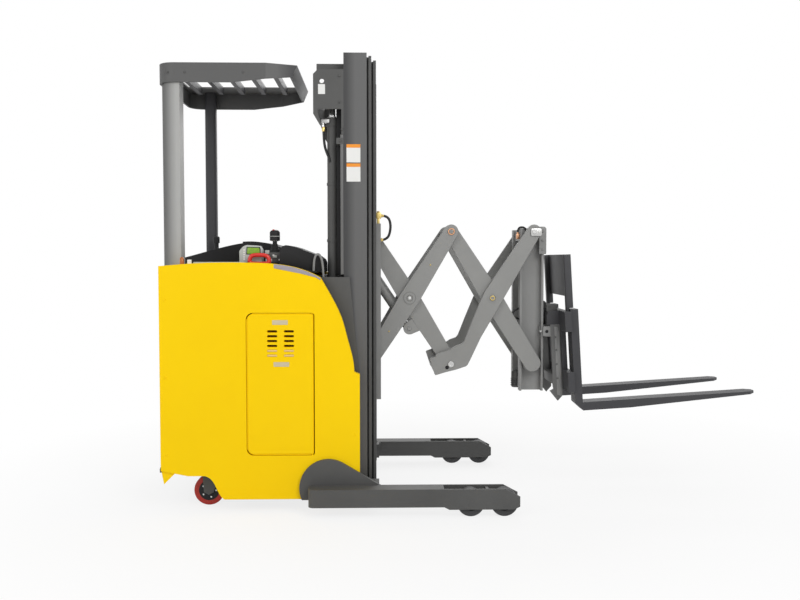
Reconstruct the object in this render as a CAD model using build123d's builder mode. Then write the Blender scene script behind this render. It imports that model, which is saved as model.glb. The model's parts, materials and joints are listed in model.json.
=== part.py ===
from build123d import *
from math import cos, radians, sin, sqrt
import os

os.makedirs("parts", exist_ok=True)

# Stand-up reach truck with a three-stage mast and a double-deep pantograph, in millimetres.
# Forks point along +X, +Y is the truck's left side, +Z is up and the floor is at zero.
# Lengthwise places are measured from a mast datum line, which lies just ahead of the inner rails.

# Clearances
running_gap = 0.3
moving_gap = 6
panel_gap = 5

# Straddle legs and load wheels
leg_rear = -360
leg_tip = 715
leg_inner = 530
leg_width = 100
leg_bottom = 53
leg_top = 145
pocket_rear = 330
pocket_plate = 11
pocket_bottom = 40
nose_height = 40
rear_wheel_x = 466
wheel_spacing = 172
load_wheel_radius = 70
load_wheel_width = 66
load_axle_radius = 10
load_hub_radius = 24
shield_radius = 150
shield_x = -262
shield_z = 127
shield_thickness = 20
shield_front = 17

# Body panels and floor
body_half_width = 510
panel_thickness = 40
body_rear = -1125
body_front = -100
body_low = 67
body_rear_low = 218
arch_rear = -900
arch_front = -800
arch_rise = 123
panel_top_rear = 1273
panel_top_mid = 1291
crown_drop = 2
shoulder_drop = 31
brow_drop = 77
brow_x = -300
nose_drop = 564
nose_rear = -128
lip_drop = 576
bumper_drop = 72
floor_height = 220
floor_thickness = 20
well_side = 100
wall_thickness = 10
dash_rear = -700
bulkhead_x = -330
bulkhead_drop = 25
mat_thickness = 8
platform_lip = 15

# Service door
door_rear = -678
door_front = -337
door_low = 300
door_top = 1028
door_corner = 30
door_hinge_corner = 10
hinge_inset = 8
hinge_pin_radius = 4
hinge_pin_length = 15
vent_width = 52
vent_height = 12
vent_pitch = 25
vent_top = 938
vent_rows = 6
vent_columns = (-549, -463)

# Battery
battery_rear = -660
battery_length = 300
battery_half_width = 430
battery_height = 640

# Cowl and controls
cowl_base = 1240
cowl_peak_x = -678
cowl_peak_rise = 165
cowl_rear_rise = 78
cowl_shoulder_rise = 138
cowl_brow_rise = 108
cowl_front_rise = 22
cowl_front = -322
cowl_near = -140
deck_overhang = 52
deck_rear_rise = 42
deck_mid_rise = 32
steer_x = -900
steer_y = 265
steer_radius = 90
steer_rise = 100
steer_thickness = 16
steer_neck_height = 36
steer_knob_radius = 19
steer_knob_height = 40
display_rear = -742
display_length = 112
display_y = -330
display_width = 100
display_height = 66
stick_x = -556
stick_y = -300
stick_base_length = 84
stick_base_height = 62
stick_radius = 12
stick_height = 72
stick_knob_radius = 27
stick_knob_height = 56
handle_rear = -685
handle_length = 118
handle_height = 52
handle_y = -424
handle_bar = 15
handle_depth = 24

# Overhead guard
guard_rear = -1147
guard_fold = -584
guard_front = -427
guard_half_width = 420
guard_front_half_width = 350
guard_corner = 90
guard_top = 2320
guard_depth = 100
guard_plate = 10
guard_rib_width = 25
guard_rib_depth = 32
guard_window = 100
guard_window_half = 228
guard_window_rear = -1115
guard_window_front = -440
guard_window_count = 6
guard_slope_start = -760
guard_slope_rise = 20
guard_nose_rise = 38
guard_lean = 28
right_column_depth = 105
right_column_width = 90
left_column_x = -1017
left_column_y = 374
left_column_size = 66
left_column_corner = 20

# Mast
outer_rear = -183
rail_depth = 120
stage_step = 24
flange = 15
web = 13
outer_web_face = 421
outer_flange_width = 47
stage_inset = 51
stage_half = 39
mast_top = 2374
mast_foot = 60
stage_drop = 12
tie_thickness = 18
tie_height = 90
cylinder_x = -246
cylinder_y = 300
barrel_radius = 29
barrel_bore = 24
rod_radius = 19
barrel_top = 2057
barrel_wall_foot = 20
clamp_height = 32
low_clamp = 1150
high_clamp = 1905
mid_tie = 1060
middle_mid_tie = 1240
inner_mid_tie = 1300
head_bracket_height = 40
head_box_rear = -340
head_box_low = 2085
head_box_top = 2289
head_box_wall = 12
eye_radius = 12
frame_top = 150
frame_front = 0
frame_rear = -420

# Reach carriage
pivot_x = -60
pivot_z = 1459
half_arm = 430
reach_angle = 58
channel_face = 262
channel_web = 12
channel_flange = 38
channel_half = 70
channel_low = 546
channel_top = 1500
guide_roller_width = 31
guide_roller_heights = (640, 1400)

# Pantograph arms
arm_width = 104
arm_thickness = 22
arm_outer_face = 207
arm_plane_gap = 6
arm_pin_radius = 16
arm_collar_radius = 31
tube_radius = 28
foot_tube_radius = 21
lug_along = 573
lug_across = 89
lug_radius = 34
lug_pin_radius = 12

# Reach cylinders
reach_anchor_x = -85
reach_anchor_z = 1300
reach_cylinder_y = 120
reach_barrel_radius = 27
reach_rod_radius = 14
reach_barrel_length = 305
reach_eye_width = 40
anchor_pin_radius = 12

# Front frame and tilt
front_rail_rear = 68
front_rail_front = 64
front_low = 573
front_top = 1477
front_web_face = 100
front_flange = 52
front_web = 12
tilt_offset_x = 68
tilt_z = 912
tilt_pin_radius = 14
fork_tilt = 3.5
cheek_y = 158
cheek_thickness = 20
tilt_ear_radius = 24
tilt_ear_thickness = 24
cheek_rear = 32
cheek_low = -330
cheek_top = 31

# Fork carriage, forks and load backrest, in the tilted frame of the tilt pivot
shank_rear = 120
shank_thickness = 42
shank_top = 118
blade_top = -390
heel_thickness = 45
fork_reach = 1110
fork_tip_thickness = 14
fork_width = 100
fork_y = 260
carriage_thickness = 36
carriage_half_width = 330
carriage_top = 108
carriage_low = -330
carriage_bar = 110
rest_plate_low = 183
rest_plate_top = 415
rest_half_width = 290
rest_plate = 12
rest_upright = 50

# Rear running gear
drive_x = -870
drive_y = 290
drive_wheel_radius = 150
drive_wheel_width = 90
drive_axle_radius = 18
drive_plate_z = 380
drive_neck_radius = 80
drive_motor_radius = 88
drive_motor_top = 640
caster_x = -875
caster_y = -345
caster_trail = 30
caster_wheel_radius = 80
caster_wheel_width = 50
caster_axle_radius = 9
caster_neck_radius = 40

# Driven values
step_x = half_arm * cos(radians(reach_angle))
step_z = half_arm * sin(radians(reach_angle))
cross_rear = (pivot_x + step_x, pivot_z - step_z)
apex = (pivot_x + 2 * step_x, pivot_z)
low_mid = (pivot_x + 2 * step_x, pivot_z - 2 * step_z)
cross_front = (pivot_x + 3 * step_x, pivot_z - step_z)
front_pin = (pivot_x + 4 * step_x, pivot_z)
rear_roller = (pivot_x, pivot_z - 2 * step_z)
front_roller = (pivot_x + 4 * step_x, pivot_z - 2 * step_z)
tilt_x = front_pin[0] + tilt_offset_x
tilt_cos = cos(radians(fork_tilt))
tilt_sin = sin(radians(fork_tilt))
fork_tip_x = tilt_x + fork_reach * tilt_cos - (blade_top - fork_tip_thickness) * tilt_sin
middle_x = (fork_tip_x + guard_rear) / 2
leg_outer = leg_inner + leg_width
leg_middle = leg_inner + leg_width / 2
panel_inner = body_half_width - panel_thickness
arm_inner_face = arm_outer_face - arm_thickness
inner_arm_outer = arm_inner_face - arm_plane_gap
inner_arm_inner = inner_arm_outer - arm_thickness
floor_bottom = floor_height - floor_thickness
tilt_ear_inner = front_web_face + front_web + 10
tilt_ear_outer = tilt_ear_inner + tilt_ear_thickness


def side(y):
    """Plane facing the truck's right side: sketch x is forward, sketch y is up."""
    return Plane(origin=(-middle_x, y, 0), x_dir=(1, 0, 0), z_dir=(0, -1, 0))


def level(z):
    """Horizontal plane: sketch x is forward, sketch y is left."""
    return Plane(origin=(-middle_x, 0, z))


def tilted(y):
    """Side plane at the tilt pivot, leaned back with the forks."""
    return Plane(origin=(tilt_x - middle_x, y, tilt_z), x_dir=(tilt_cos, 0, tilt_sin), z_dir=(0, -1, 0))


def plate(plane, points, thickness, mode=Mode.ADD):
    """Flat plate with straight edges."""
    with BuildSketch(plane) as outline:
        with BuildLine():
            Polyline(*points, close=True)
        make_face()
    extrude(outline.sketch, amount=thickness, mode=mode)


def block(x, y, z, mode=Mode.ADD):
    """Rectangular bar between two places on each axis."""
    with BuildSketch(level(z[0])) as outline:
        with Locations(((x[0] + x[1]) / 2, (y[0] + y[1]) / 2)):
            Rectangle(x[1] - x[0], y[1] - y[0])
    extrude(outline.sketch, amount=z[1] - z[0], mode=mode)


def disc(plane, centre, radius, thickness, mode=Mode.ADD):
    """Round bar, boss or hole standing on a plane."""
    with BuildSketch(plane) as outline:
        with Locations(centre):
            Circle(radius)
    extrude(outline.sketch, amount=thickness, mode=mode)


def finish(piece, name):
    """Label one finished piece and write it."""
    piece.part.label = name
    export_step(piece.part, "parts/" + name + ".step")


# Straddle legs: box beams with an open wheel pocket at the front
wheel_places = (rear_wheel_x, rear_wheel_x + wheel_spacing)
pocket_top = leg_top - 8
with BuildPart() as straddle_legs:
    block((leg_rear, pocket_rear), (leg_inner, leg_outer), (leg_bottom, leg_top))
    rear_edges = straddle_legs.edges().filter_by(Axis.Z).sort_by(Axis.X)[:2]
    fillet(rear_edges, 30)
    nose = (
        (pocket_rear, leg_bottom),
        (pocket_rear + 25, pocket_bottom),
        (leg_tip - 30, pocket_bottom),
        (leg_tip, pocket_bottom + 14),
        (leg_tip, leg_top - nose_height),
        (leg_tip - 75, leg_top),
        (pocket_rear, leg_top),
    )
    for face_y in (leg_inner + pocket_plate, leg_outer):
        plate(side(face_y), nose, pocket_plate)
    bar_x = rear_wheel_x + wheel_spacing / 2
    block((bar_x - 8, bar_x + 8), (leg_inner, leg_outer), (leg_top - 25, leg_top - 7))
    for wheel_x in wheel_places:
        disc(side(leg_outer), (wheel_x, load_wheel_radius), load_axle_radius, leg_width)
    mirror(about=Plane.XZ)
finish(straddle_legs, "straddle_legs")

# Load wheels: polyurethane tread and hub on a plain bore
corner_names = (("rear", 0), ("front", 1))
side_names = (("right", -1), ("left", 1))
for corner, place in corner_names:
    for hand, sign in side_names:
        wheel_y = sign * leg_middle
        with BuildPart() as load_wheel:
            face = side(wheel_y + load_wheel_width / 2)
            disc(face, (wheel_places[place], load_wheel_radius), load_wheel_radius, load_wheel_width)
            rims = load_wheel.edges().filter_by(GeomType.CIRCLE)
            fillet(rims, 6)
            recess = load_hub_radius + 16
            inner_face = side(wheel_y - load_wheel_width / 2 + 6)
            for start in (face, inner_face):
                disc(start, (wheel_places[place], load_wheel_radius), recess, 6, Mode.SUBTRACT)
            disc(face, (wheel_places[place], load_wheel_radius), load_hub_radius, load_wheel_width)
            bore = load_axle_radius + running_gap
            disc(face, (wheel_places[place], load_wheel_radius), bore, load_wheel_width, Mode.SUBTRACT)
        finish(load_wheel, "load_wheel_" + corner + "_" + hand)

# Leg shields: round-backed plates between the body and each leg
with BuildPart() as leg_shields:
    with BuildSketch(side(leg_inner)) as outline:
        with Locations((shield_x, shield_z)):
            Circle(shield_radius)
        with Locations((shield_front - 15, shield_z)):
            Circle(15)
        make_hull()
        with Locations((shield_x, body_low - shield_radius)):
            Rectangle(4 * shield_radius, 2 * shield_radius, mode=Mode.SUBTRACT)
    extrude(amount=shield_thickness)
    mirror(about=Plane.XZ)
finish(leg_shields, "leg_shields")

# Mast foot: a cross box behind the mast and an arm along each side of it
foot_front = outer_rear - 27
with BuildPart() as foot_cross:
    block((frame_rear, foot_front), (-panel_inner, panel_inner), (body_low, frame_top))
finish(foot_cross, "foot_cross")

with BuildPart() as foot_arms:
    block((foot_front, body_front), (outer_web_face, panel_inner), (body_low, frame_top))
    block((body_front, frame_front), (outer_web_face, body_half_width), (body_low, frame_top))
    mirror(about=Plane.XZ)
finish(foot_arms, "foot_arms")


def panel_outline(plane):
    """Side panel with a domed top, a front edge that sweeps down along the mast and a raised tail."""
    crown = panel_top_mid - crown_drop
    shoulder = panel_top_mid - shoulder_drop
    brow = panel_top_mid - brow_drop
    nose = panel_top_mid - nose_drop
    sweep = brow - nose
    run = nose_rear - brow_x
    bend = arch_front - arch_rear
    arch = body_low + arch_rise
    with BuildSketch(plane) as outline:
        with BuildLine():
            Polyline((body_rear, body_rear_low), (body_rear, panel_top_rear))
            Spline(
                (body_rear, panel_top_rear),
                (0.5 * body_rear + 0.5 * cowl_peak_x, crown),
                (cowl_peak_x, panel_top_mid),
                (0.28 * cowl_peak_x + 0.72 * brow_x, shoulder),
                (brow_x, brow),
            )
            Spline(
                (brow_x, brow),
                (brow_x + 0.37 * run, brow - 0.23 * sweep),
                (brow_x + 0.63 * run, brow - 0.43 * sweep),
                (brow_x + 0.81 * run, brow - 0.66 * sweep),
                (brow_x + 0.95 * run, brow - 0.85 * sweep),
                (nose_rear, nose),
            )
            Polyline(
                (nose_rear, nose),
                (body_front, panel_top_mid - lip_drop),
                (body_front, body_low),
                (arch_front, body_low),
            )
            Spline(
                (arch_front, body_low),
                (arch_front - 0.33 * bend, body_low + 0.35 * arch_rise),
                (arch_front - 0.62 * bend, body_low + 0.8 * arch_rise),
                (arch_rear, arch),
            )
            Polyline((arch_rear, arch), (0.62 * arch_rear + 0.38 * body_rear, arch), (body_rear, body_rear_low))
        make_face()
    return outline


def door_outline(plane, margin):
    """Service door seen from the side, tighter at the hinge corners, or its opening with a margin."""
    with BuildSketch(plane) as outline:
        with Locations(((door_rear + door_front) / 2, (door_low + door_top) / 2)):
            Rectangle(door_front - door_rear + 2 * margin, door_top - door_low + 2 * margin)
        fillet(outline.vertices().group_by(Axis.X)[0], door_corner + margin)
        fillet(outline.vertices().group_by(Axis.X)[-1], door_hinge_corner + margin)
    return outline


# Right side panel with the service door's opening and pivot pins
hinge_x = door_front - hinge_inset
hinge_y = -body_half_width + hinge_inset
with BuildPart() as side_panel_right:
    extrude(panel_outline(side(-panel_inner)).sketch, amount=panel_thickness)
    extrude(door_outline(side(-panel_inner), panel_gap).sketch, amount=panel_thickness, mode=Mode.SUBTRACT)
    disc(level(door_low - panel_gap), (hinge_x, hinge_y), hinge_pin_radius, hinge_pin_length)
    disc(level(door_top + panel_gap), (hinge_x, hinge_y), hinge_pin_radius, -hinge_pin_length)
finish(side_panel_right, "side_panel_right")

# Left side panel
with BuildPart() as side_panel_left:
    extrude(panel_outline(side(body_half_width)).sketch, amount=panel_thickness)
finish(side_panel_left, "side_panel_left")

# Service door with two columns of vents, hung on its front edge
with BuildPart() as service_door:
    extrude(door_outline(side(-panel_inner), 0).sketch, amount=panel_thickness)
    with BuildSketch(side(-panel_inner)) as vents:
        for vent_x in vent_columns:
            for row in range(vent_rows):
                with Locations((vent_x, vent_top - row * vent_pitch)):
                    SlotOverall(vent_width, vent_height)
    extrude(vents.sketch, amount=panel_thickness, mode=Mode.SUBTRACT)
    front_edge = service_door.edges().filter_by(Axis.Z).sort_by(Axis.X)[-2:].sort_by(Axis.Y)[0]
    fillet(front_edge, hinge_inset)
    pin_hole = hinge_pin_radius + running_gap
    hole_depth = hinge_pin_length - panel_gap + running_gap
    disc(level(door_low), (hinge_x, hinge_y), pin_hole, hole_depth, Mode.SUBTRACT)
    disc(level(door_top), (hinge_x, hinge_y), pin_hole, -hole_depth, Mode.SUBTRACT)
finish(service_door, "service_door")

# Rear bumper wedges below the tail of the side panels
with BuildPart() as bumper_wedges:
    tail_fall = (body_rear_low - body_low - arch_rise) / (0.62 * (arch_rear - body_rear))
    wedge = (
        (body_rear, body_rear_low),
        (body_rear + 14, body_rear_low - bumper_drop),
        (body_rear + bumper_drop, body_rear_low - bumper_drop * tail_fall),
    )
    plate(side(panel_inner + 30), wedge, 20)
    mirror(about=Plane.XZ)
finish(bumper_wedges, "bumper_wedges")

# Operator platform with its floor mat
platform_rear = body_rear - platform_lip
column_outer = guard_half_width - guard_plate - 2
column_inner = right_column_width - column_outer
with BuildPart() as platform:
    block((platform_rear, dash_rear), (-panel_inner, well_side), (floor_bottom, floor_height))
finish(platform, "platform")

mat_y = (column_inner + 12, well_side - 12)
with BuildPart() as floor_mat:
    block((platform_rear + 20, dash_rear - 15), mat_y, (floor_height, floor_height + mat_thickness))
    fillet(floor_mat.edges().filter_by(Axis.Z), 25)
finish(floor_mat, "floor_mat")

# Walls of the operator's well and the battery tray
wall_top = cowl_base
with BuildPart() as housing_wall:
    housing_x = (body_rear + wall_thickness, dash_rear)
    block(housing_x, (well_side, well_side + wall_thickness), (floor_bottom, wall_top))
finish(housing_wall, "housing_wall")

with BuildPart() as rear_wall:
    block((body_rear, body_rear + wall_thickness), (well_side, panel_inner), (floor_bottom, wall_top))
finish(rear_wall, "rear_wall")

with BuildPart() as dash_wall:
    block((dash_rear, dash_rear + wall_thickness), (-panel_inner, panel_inner), (frame_top, wall_top))
finish(dash_wall, "dash_wall")

with BuildPart() as battery_tray:
    block((dash_rear, frame_rear), (-panel_inner, panel_inner), (frame_top - 20, frame_top))
finish(battery_tray, "battery_tray")

# Drive mount: shelf in the left housing that carries the turning drive unit
drive_hole = drive_neck_radius + moving_gap
with BuildPart() as drive_shelf:
    shelf_y = (well_side + wall_thickness, panel_inner)
    block(housing_x, shelf_y, (drive_plate_z, drive_plate_z + 15))
    disc(level(drive_plate_z), (drive_x, drive_y), drive_hole, 15, Mode.SUBTRACT)
finish(drive_shelf, "drive_shelf")

# Bulkhead between the body and the mast, and the mast's side supports
bulkhead_top = cowl_base - bulkhead_drop
support_rear = bulkhead_x + wall_thickness
with BuildPart() as bulkhead:
    block((bulkhead_x, support_rear), (-panel_inner, panel_inner), (frame_top, bulkhead_top))
finish(bulkhead, "bulkhead")

with BuildPart() as mast_supports:
    support = (
        (support_rear, frame_top),
        (outer_rear + 83, frame_top),
        (outer_rear + 83, door_low + 400),
        (outer_rear + 60, door_low + 600),
        (outer_rear + 30, bulkhead_top),
        (support_rear, bulkhead_top),
    )
    plate(side(outer_web_face + 15), support, 15)
    mirror(about=Plane.XZ)
finish(mast_supports, "mast_supports")

# Battery block
with BuildPart() as battery:
    battery_z = (frame_top, frame_top + battery_height)
    block((battery_rear, battery_rear + battery_length), (-battery_half_width, battery_half_width), battery_z)
    fillet(battery.edges().filter_by(Axis.Z), 12)
finish(battery, "battery")


# Cowl: an arched moulding over the left housing and the dash, with a lower deck at the operator's right
steer_floor = cowl_base + steer_rise
steer_z = steer_floor + 12
deck_rear = dash_rear - deck_overhang
with BuildPart() as cowl:
    with BuildSketch(side(panel_inner)) as arch:
        with BuildLine():
            Polyline((body_rear, cowl_base), (body_rear, cowl_base + cowl_rear_rise))
            Spline(
                (body_rear, cowl_base + cowl_rear_rise),
                (0.5 * body_rear + 0.5 * cowl_peak_x, cowl_base + cowl_shoulder_rise),
                (cowl_peak_x, cowl_base + cowl_peak_rise),
                (0.44 * cowl_peak_x + 0.56 * cowl_front, cowl_base + cowl_brow_rise),
                (cowl_front, cowl_base + cowl_front_rise),
            )
            Polyline(
                (cowl_front, cowl_base + cowl_front_rise),
                (cowl_front, cowl_base),
                (body_rear, cowl_base),
            )
        make_face()
    extrude(arch.sketch, amount=panel_inner - cowl_near)
    with BuildSketch(level(cowl_base)) as well:
        with Locations(((body_rear + deck_rear) / 2 - 50, (well_side - panel_inner) / 2)):
            Rectangle(deck_rear - body_rear + 100, well_side + panel_inner)
    extrude(well.sketch, amount=2 * cowl_peak_rise, mode=Mode.SUBTRACT)
    deck = (
        (deck_rear, cowl_base),
        (deck_rear, cowl_base + deck_rear_rise),
        (0.5 * deck_rear + 0.5 * cowl_front, cowl_base + deck_mid_rise),
        (cowl_front, cowl_base + 5),
        (cowl_front, cowl_base),
    )
    plate(side(cowl_near), deck, panel_inner + cowl_near)
    disc(level(steer_floor), (steer_x, steer_y), steer_radius + moving_gap, cowl_peak_rise, Mode.SUBTRACT)
    disc(level(steer_floor), (steer_x, steer_y), 30, steer_z - steer_floor - running_gap)
    with BuildSketch(level(cowl_base)) as column_hole:
        with Locations((left_column_x, left_column_y)):
            hole_size = left_column_size + 2 * running_gap
            RectangleRounded(hole_size, hole_size, left_column_corner + running_gap)
    extrude(column_hole.sketch, amount=2 * cowl_peak_rise, mode=Mode.SUBTRACT)
finish(cowl, "cowl")

# Steering disc with its raised knob
with BuildPart() as steering_disc:
    disc(level(steer_z), (steer_x, steer_y), steer_radius, steer_thickness)
    fillet(steering_disc.edges().filter_by(GeomType.CIRCLE), 5)
    knob_x = steer_x - steer_radius + steer_knob_radius
    knob_z = steer_z + steer_thickness + steer_neck_height
    disc(level(steer_z + steer_thickness), (knob_x, steer_y), steer_knob_radius - 6, steer_neck_height)
    disc(level(knob_z), (knob_x, steer_y), steer_knob_radius, steer_knob_height)
    fillet(steering_disc.edges().group_by(Axis.Z)[-1], 10)
finish(steering_disc, "steering_disc")

# Controls on the deck: display housing, joystick on its base, and a grab handle
deck_slope = (deck_rear_rise - deck_mid_rise) / (0.5 * (cowl_front - deck_rear))


def deck_height(x):
    """Height of the rear half of the deck."""
    return cowl_base + deck_rear_rise - (x - deck_rear) * deck_slope


with BuildPart() as display_housing:
    display_front = display_rear + display_length
    housing = (
        (display_rear, deck_height(display_rear)),
        (display_front, deck_height(display_front)),
        (display_front, deck_height(display_front) + display_height),
        (display_rear + 24, deck_height(display_rear) + display_height + 20),
        (display_rear, deck_height(display_rear) + display_height - 10),
    )
    plate(side(display_y + display_width / 2), housing, display_width)
    fillet(display_housing.edges().filter_by(Axis.Y), 8)
finish(display_housing, "display_housing")

with BuildPart() as joystick:
    base_x = (stick_x - stick_base_length / 2, stick_x + stick_base_length / 2)
    base_top = deck_height(stick_x) + stick_base_height
    base = (
        (base_x[0], deck_height(base_x[0])),
        (base_x[1], deck_height(base_x[1])),
        (base_x[1] - 8, base_top),
        (base_x[0] + 8, base_top),
    )
    plate(side(stick_y + 40), base, 80)
    knob_low = base_top + stick_height
    disc(level(base_top), (stick_x, stick_y), stick_radius, stick_height)
    disc(level(knob_low), (stick_x, stick_y), stick_knob_radius, stick_knob_height)
    fillet(joystick.edges().filter_by(GeomType.CIRCLE).group_by(Axis.Z)[-1], 16)
    flap = (
        (base_x[1] - 30, base_top),
        (base_x[1] - 6, base_top),
        (base_x[1] + 26, base_top + 46),
    )
    plate(side(stick_y + 20), flap, 40)
finish(joystick, "joystick")

with BuildPart() as grab_handle:
    handle_front = handle_rear + handle_length
    handle_top = deck_height(handle_rear) + handle_height
    grip = (
        (handle_rear, deck_height(handle_rear)),
        (handle_front, deck_height(handle_front)),
        (handle_front, handle_top),
        (handle_rear, handle_top),
    )
    plate(side(handle_y + handle_depth), grip, handle_depth)
    opening = (
        (handle_rear + handle_bar, deck_height(handle_rear) + 8),
        (handle_front - handle_bar, deck_height(handle_rear) + 8),
        (handle_front - handle_bar, handle_top - handle_bar),
        (handle_rear + handle_bar, handle_top - handle_bar),
    )
    plate(side(handle_y + handle_depth), opening, handle_depth, Mode.SUBTRACT)
    fillet(grab_handle.edges().filter_by(Axis.Y).group_by(Axis.Z)[-1], 14)
finish(grab_handle, "grab_handle")

# Overhead guard: a folded skirt with a roof plate, windows in it and a leaning front
guard_low = guard_top - guard_depth
roof_low = guard_top - guard_plate
guard_edge = (
    (guard_rear, -guard_half_width),
    (guard_fold, -guard_half_width),
    (guard_front + 20, -guard_front_half_width),
    (guard_front + 20, guard_front_half_width),
    (guard_fold, guard_half_width),
    (guard_rear, guard_half_width),
)
with BuildPart() as guard:
    with BuildSketch(level(guard_low)) as skirt:
        with BuildLine():
            Polyline(*guard_edge, close=True)
        make_face()
        fillet(skirt.vertices().group_by(Axis.X)[0], guard_corner)
        offset(amount=-guard_plate, mode=Mode.SUBTRACT)
    extrude(skirt.sketch, amount=guard_depth)
    with BuildSketch(level(roof_low)) as roof:
        with BuildLine():
            Polyline(*guard_edge, close=True)
        make_face()
        fillet(roof.vertices().group_by(Axis.X)[0], guard_corner)
    extrude(roof.sketch, amount=guard_plate)
    window_pitch = guard_window + guard_rib_width
    for index in range(guard_window_count):
        window_front = guard_window_front - index * window_pitch
        window_rear = max(window_front - guard_window, guard_window_rear)
        window_y = (-guard_window_half, guard_window_half)
        block((window_rear, window_front), window_y, (roof_low, guard_top), Mode.SUBTRACT)
    below = (
        (guard_slope_start, guard_low),
        (guard_fold, guard_low + guard_slope_rise),
        (guard_front - guard_lean, guard_low + guard_nose_rise),
        (guard_front, guard_top),
        (guard_front + 40, guard_top),
        (guard_front + 40, guard_low),
    )
    plate(side(guard_half_width), below, 2 * guard_half_width, Mode.SUBTRACT)
    front_plate = (
        (guard_front - guard_lean, guard_low + guard_nose_rise),
        (guard_front, guard_top),
        (guard_front - guard_plate, guard_top),
        (guard_front - guard_lean - guard_plate, guard_low + guard_nose_rise),
    )
    plate(side(guard_front_half_width), front_plate, 2 * guard_front_half_width)
finish(guard, "guard")

with BuildPart() as guard_ribs:
    for index in range(guard_window_count - 1):
        rib_front = guard_window_front - guard_window - index * window_pitch
        rib_y = (-guard_window_half - 12, guard_window_half + 12)
        block((rib_front - guard_rib_width, rib_front), rib_y, (roof_low - guard_rib_depth, roof_low))
finish(guard_ribs, "guard_ribs")

# Guard columns: a deep one at the right rear and a slim one at the left rear
with BuildPart() as guard_column_right:
    column_rear = guard_rear + guard_plate + 2
    with BuildSketch(level(floor_height)) as column:
        with Locations((column_rear + right_column_depth / 2, column_inner - right_column_width / 2)):
            Rectangle(right_column_depth, right_column_width)
        outer_corner = column.vertices().sort_by(Axis.X)[:2].sort_by(Axis.Y)[0]
        fillet(outer_corner, guard_corner - guard_plate - 2)
    extrude(amount=roof_low - floor_height)
finish(guard_column_right, "guard_column_right")

with BuildPart() as guard_column_left:
    with BuildSketch(level(drive_plate_z + 15)):
        with Locations((left_column_x, left_column_y)):
            RectangleRounded(left_column_size, left_column_size, left_column_corner)
    extrude(amount=roof_low - drive_plate_z - 15)
finish(guard_column_left, "guard_column_left")


def rail(rear, depth, spans, foot, top):
    """Rolled mast rail: spans are the across places of the flanges and of the web."""
    flange_span, web_span = spans
    block((rear, rear + flange), flange_span, (foot, top))
    block((rear + depth - flange, rear + depth), flange_span, (foot, top))
    block((rear + flange, rear + depth - flange), web_span, (foot, top))


# Outer mast: channels opening inward, cross ties and the head box with lifting eyes
outer_inner_edge = outer_web_face - outer_flange_width
with BuildPart() as mast_outer:
    spans = ((outer_inner_edge, outer_web_face), (outer_web_face - web, outer_web_face))
    rail(outer_rear, rail_depth, spans, mast_foot, mast_top)
    mirror(about=Plane.XZ)
finish(mast_outer, "mast_outer")

with BuildPart() as outer_ties:
    for tie_z in (frame_top + 20, mid_tie):
        tie_x = (outer_rear - tie_thickness, outer_rear)
        block(tie_x, (-outer_web_face, outer_web_face), (tie_z, tie_z + tie_height))
finish(outer_ties, "outer_ties")

with BuildPart() as head_box:
    cheek = (
        (outer_rear, head_box_top),
        (head_box_rear + 25, head_box_top),
        (head_box_rear, head_box_top - 25),
        (head_box_rear, head_box_low - 24),
        (head_box_rear + 34, head_box_low - 82),
        (head_box_rear + 42, head_box_low - 82),
        (head_box_rear + 24, head_box_low - 24),
        (head_box_rear + 24, head_box_low),
        (outer_rear - 12, head_box_low),
        (outer_rear - 12, head_box_low - 130),
        (outer_rear, head_box_low - 130),
    )
    plate(side(outer_web_face), cheek, head_box_wall)
    disc(side(outer_web_face), (head_box_rear + 45, head_box_top - 60), eye_radius, head_box_wall, Mode.SUBTRACT)
    back_x = (head_box_rear, head_box_rear + head_box_wall)
    block(back_x, (0, outer_web_face - head_box_wall), (head_box_low, head_box_top - 25))
    mirror(about=Plane.XZ)
finish(head_box, "head_box")

# Lift cylinder barrels with their glands, standing on the foot frame
with BuildPart() as lift_barrels:
    disc(level(frame_top), (cylinder_x, cylinder_y), barrel_radius, barrel_top - frame_top)
    bore_depth = barrel_top - frame_top - barrel_wall_foot - 40
    disc(level(frame_top + barrel_wall_foot), (cylinder_x, cylinder_y), barrel_bore, bore_depth, Mode.SUBTRACT)
    gland_radius = rod_radius + running_gap
    disc(level(barrel_top - 45), (cylinder_x, cylinder_y), gland_radius, 45, Mode.SUBTRACT)
    with BuildSketch(level(barrel_top - 45)) as collar:
        with Locations((cylinder_x, cylinder_y)):
            Circle(barrel_radius + 4)
            Circle(barrel_radius, mode=Mode.SUBTRACT)
    extrude(collar.sketch, amount=45)
    clamp_x = (cylinder_x + barrel_radius - 4, outer_rear)
    clamp_y = (cylinder_y - 12, outer_web_face)
    for clamp_z in (low_clamp, high_clamp):
        block(clamp_x, clamp_y, (clamp_z, clamp_z + clamp_height))
    mirror(about=Plane.XZ)
finish(lift_barrels, "lift_barrels")

# Middle mast: beams nested in the outer channels, with rear ties, slide pads and rod heads
middle_rear = outer_rear + stage_step
middle_outer_edge = outer_web_face - 20
middle_inner_edge = middle_outer_edge - 2 * stage_half
middle_web = ((middle_outer_edge + middle_inner_edge - web) / 2, (middle_outer_edge + middle_inner_edge + web) / 2)
middle_top = mast_top - stage_drop
middle_foot = mast_foot + 15
pad_height = 60
with BuildPart() as mast_middle:
    rail(middle_rear, rail_depth, ((middle_inner_edge, middle_outer_edge), middle_web), middle_foot, middle_top)
    pad_x = (outer_rear + flange + running_gap, middle_rear)
    block(pad_x, (outer_inner_edge + 2, middle_outer_edge - 2), (middle_foot + 25, middle_foot + 25 + pad_height))
    mirror(about=Plane.XZ)
finish(mast_middle, "mast_middle")

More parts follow.
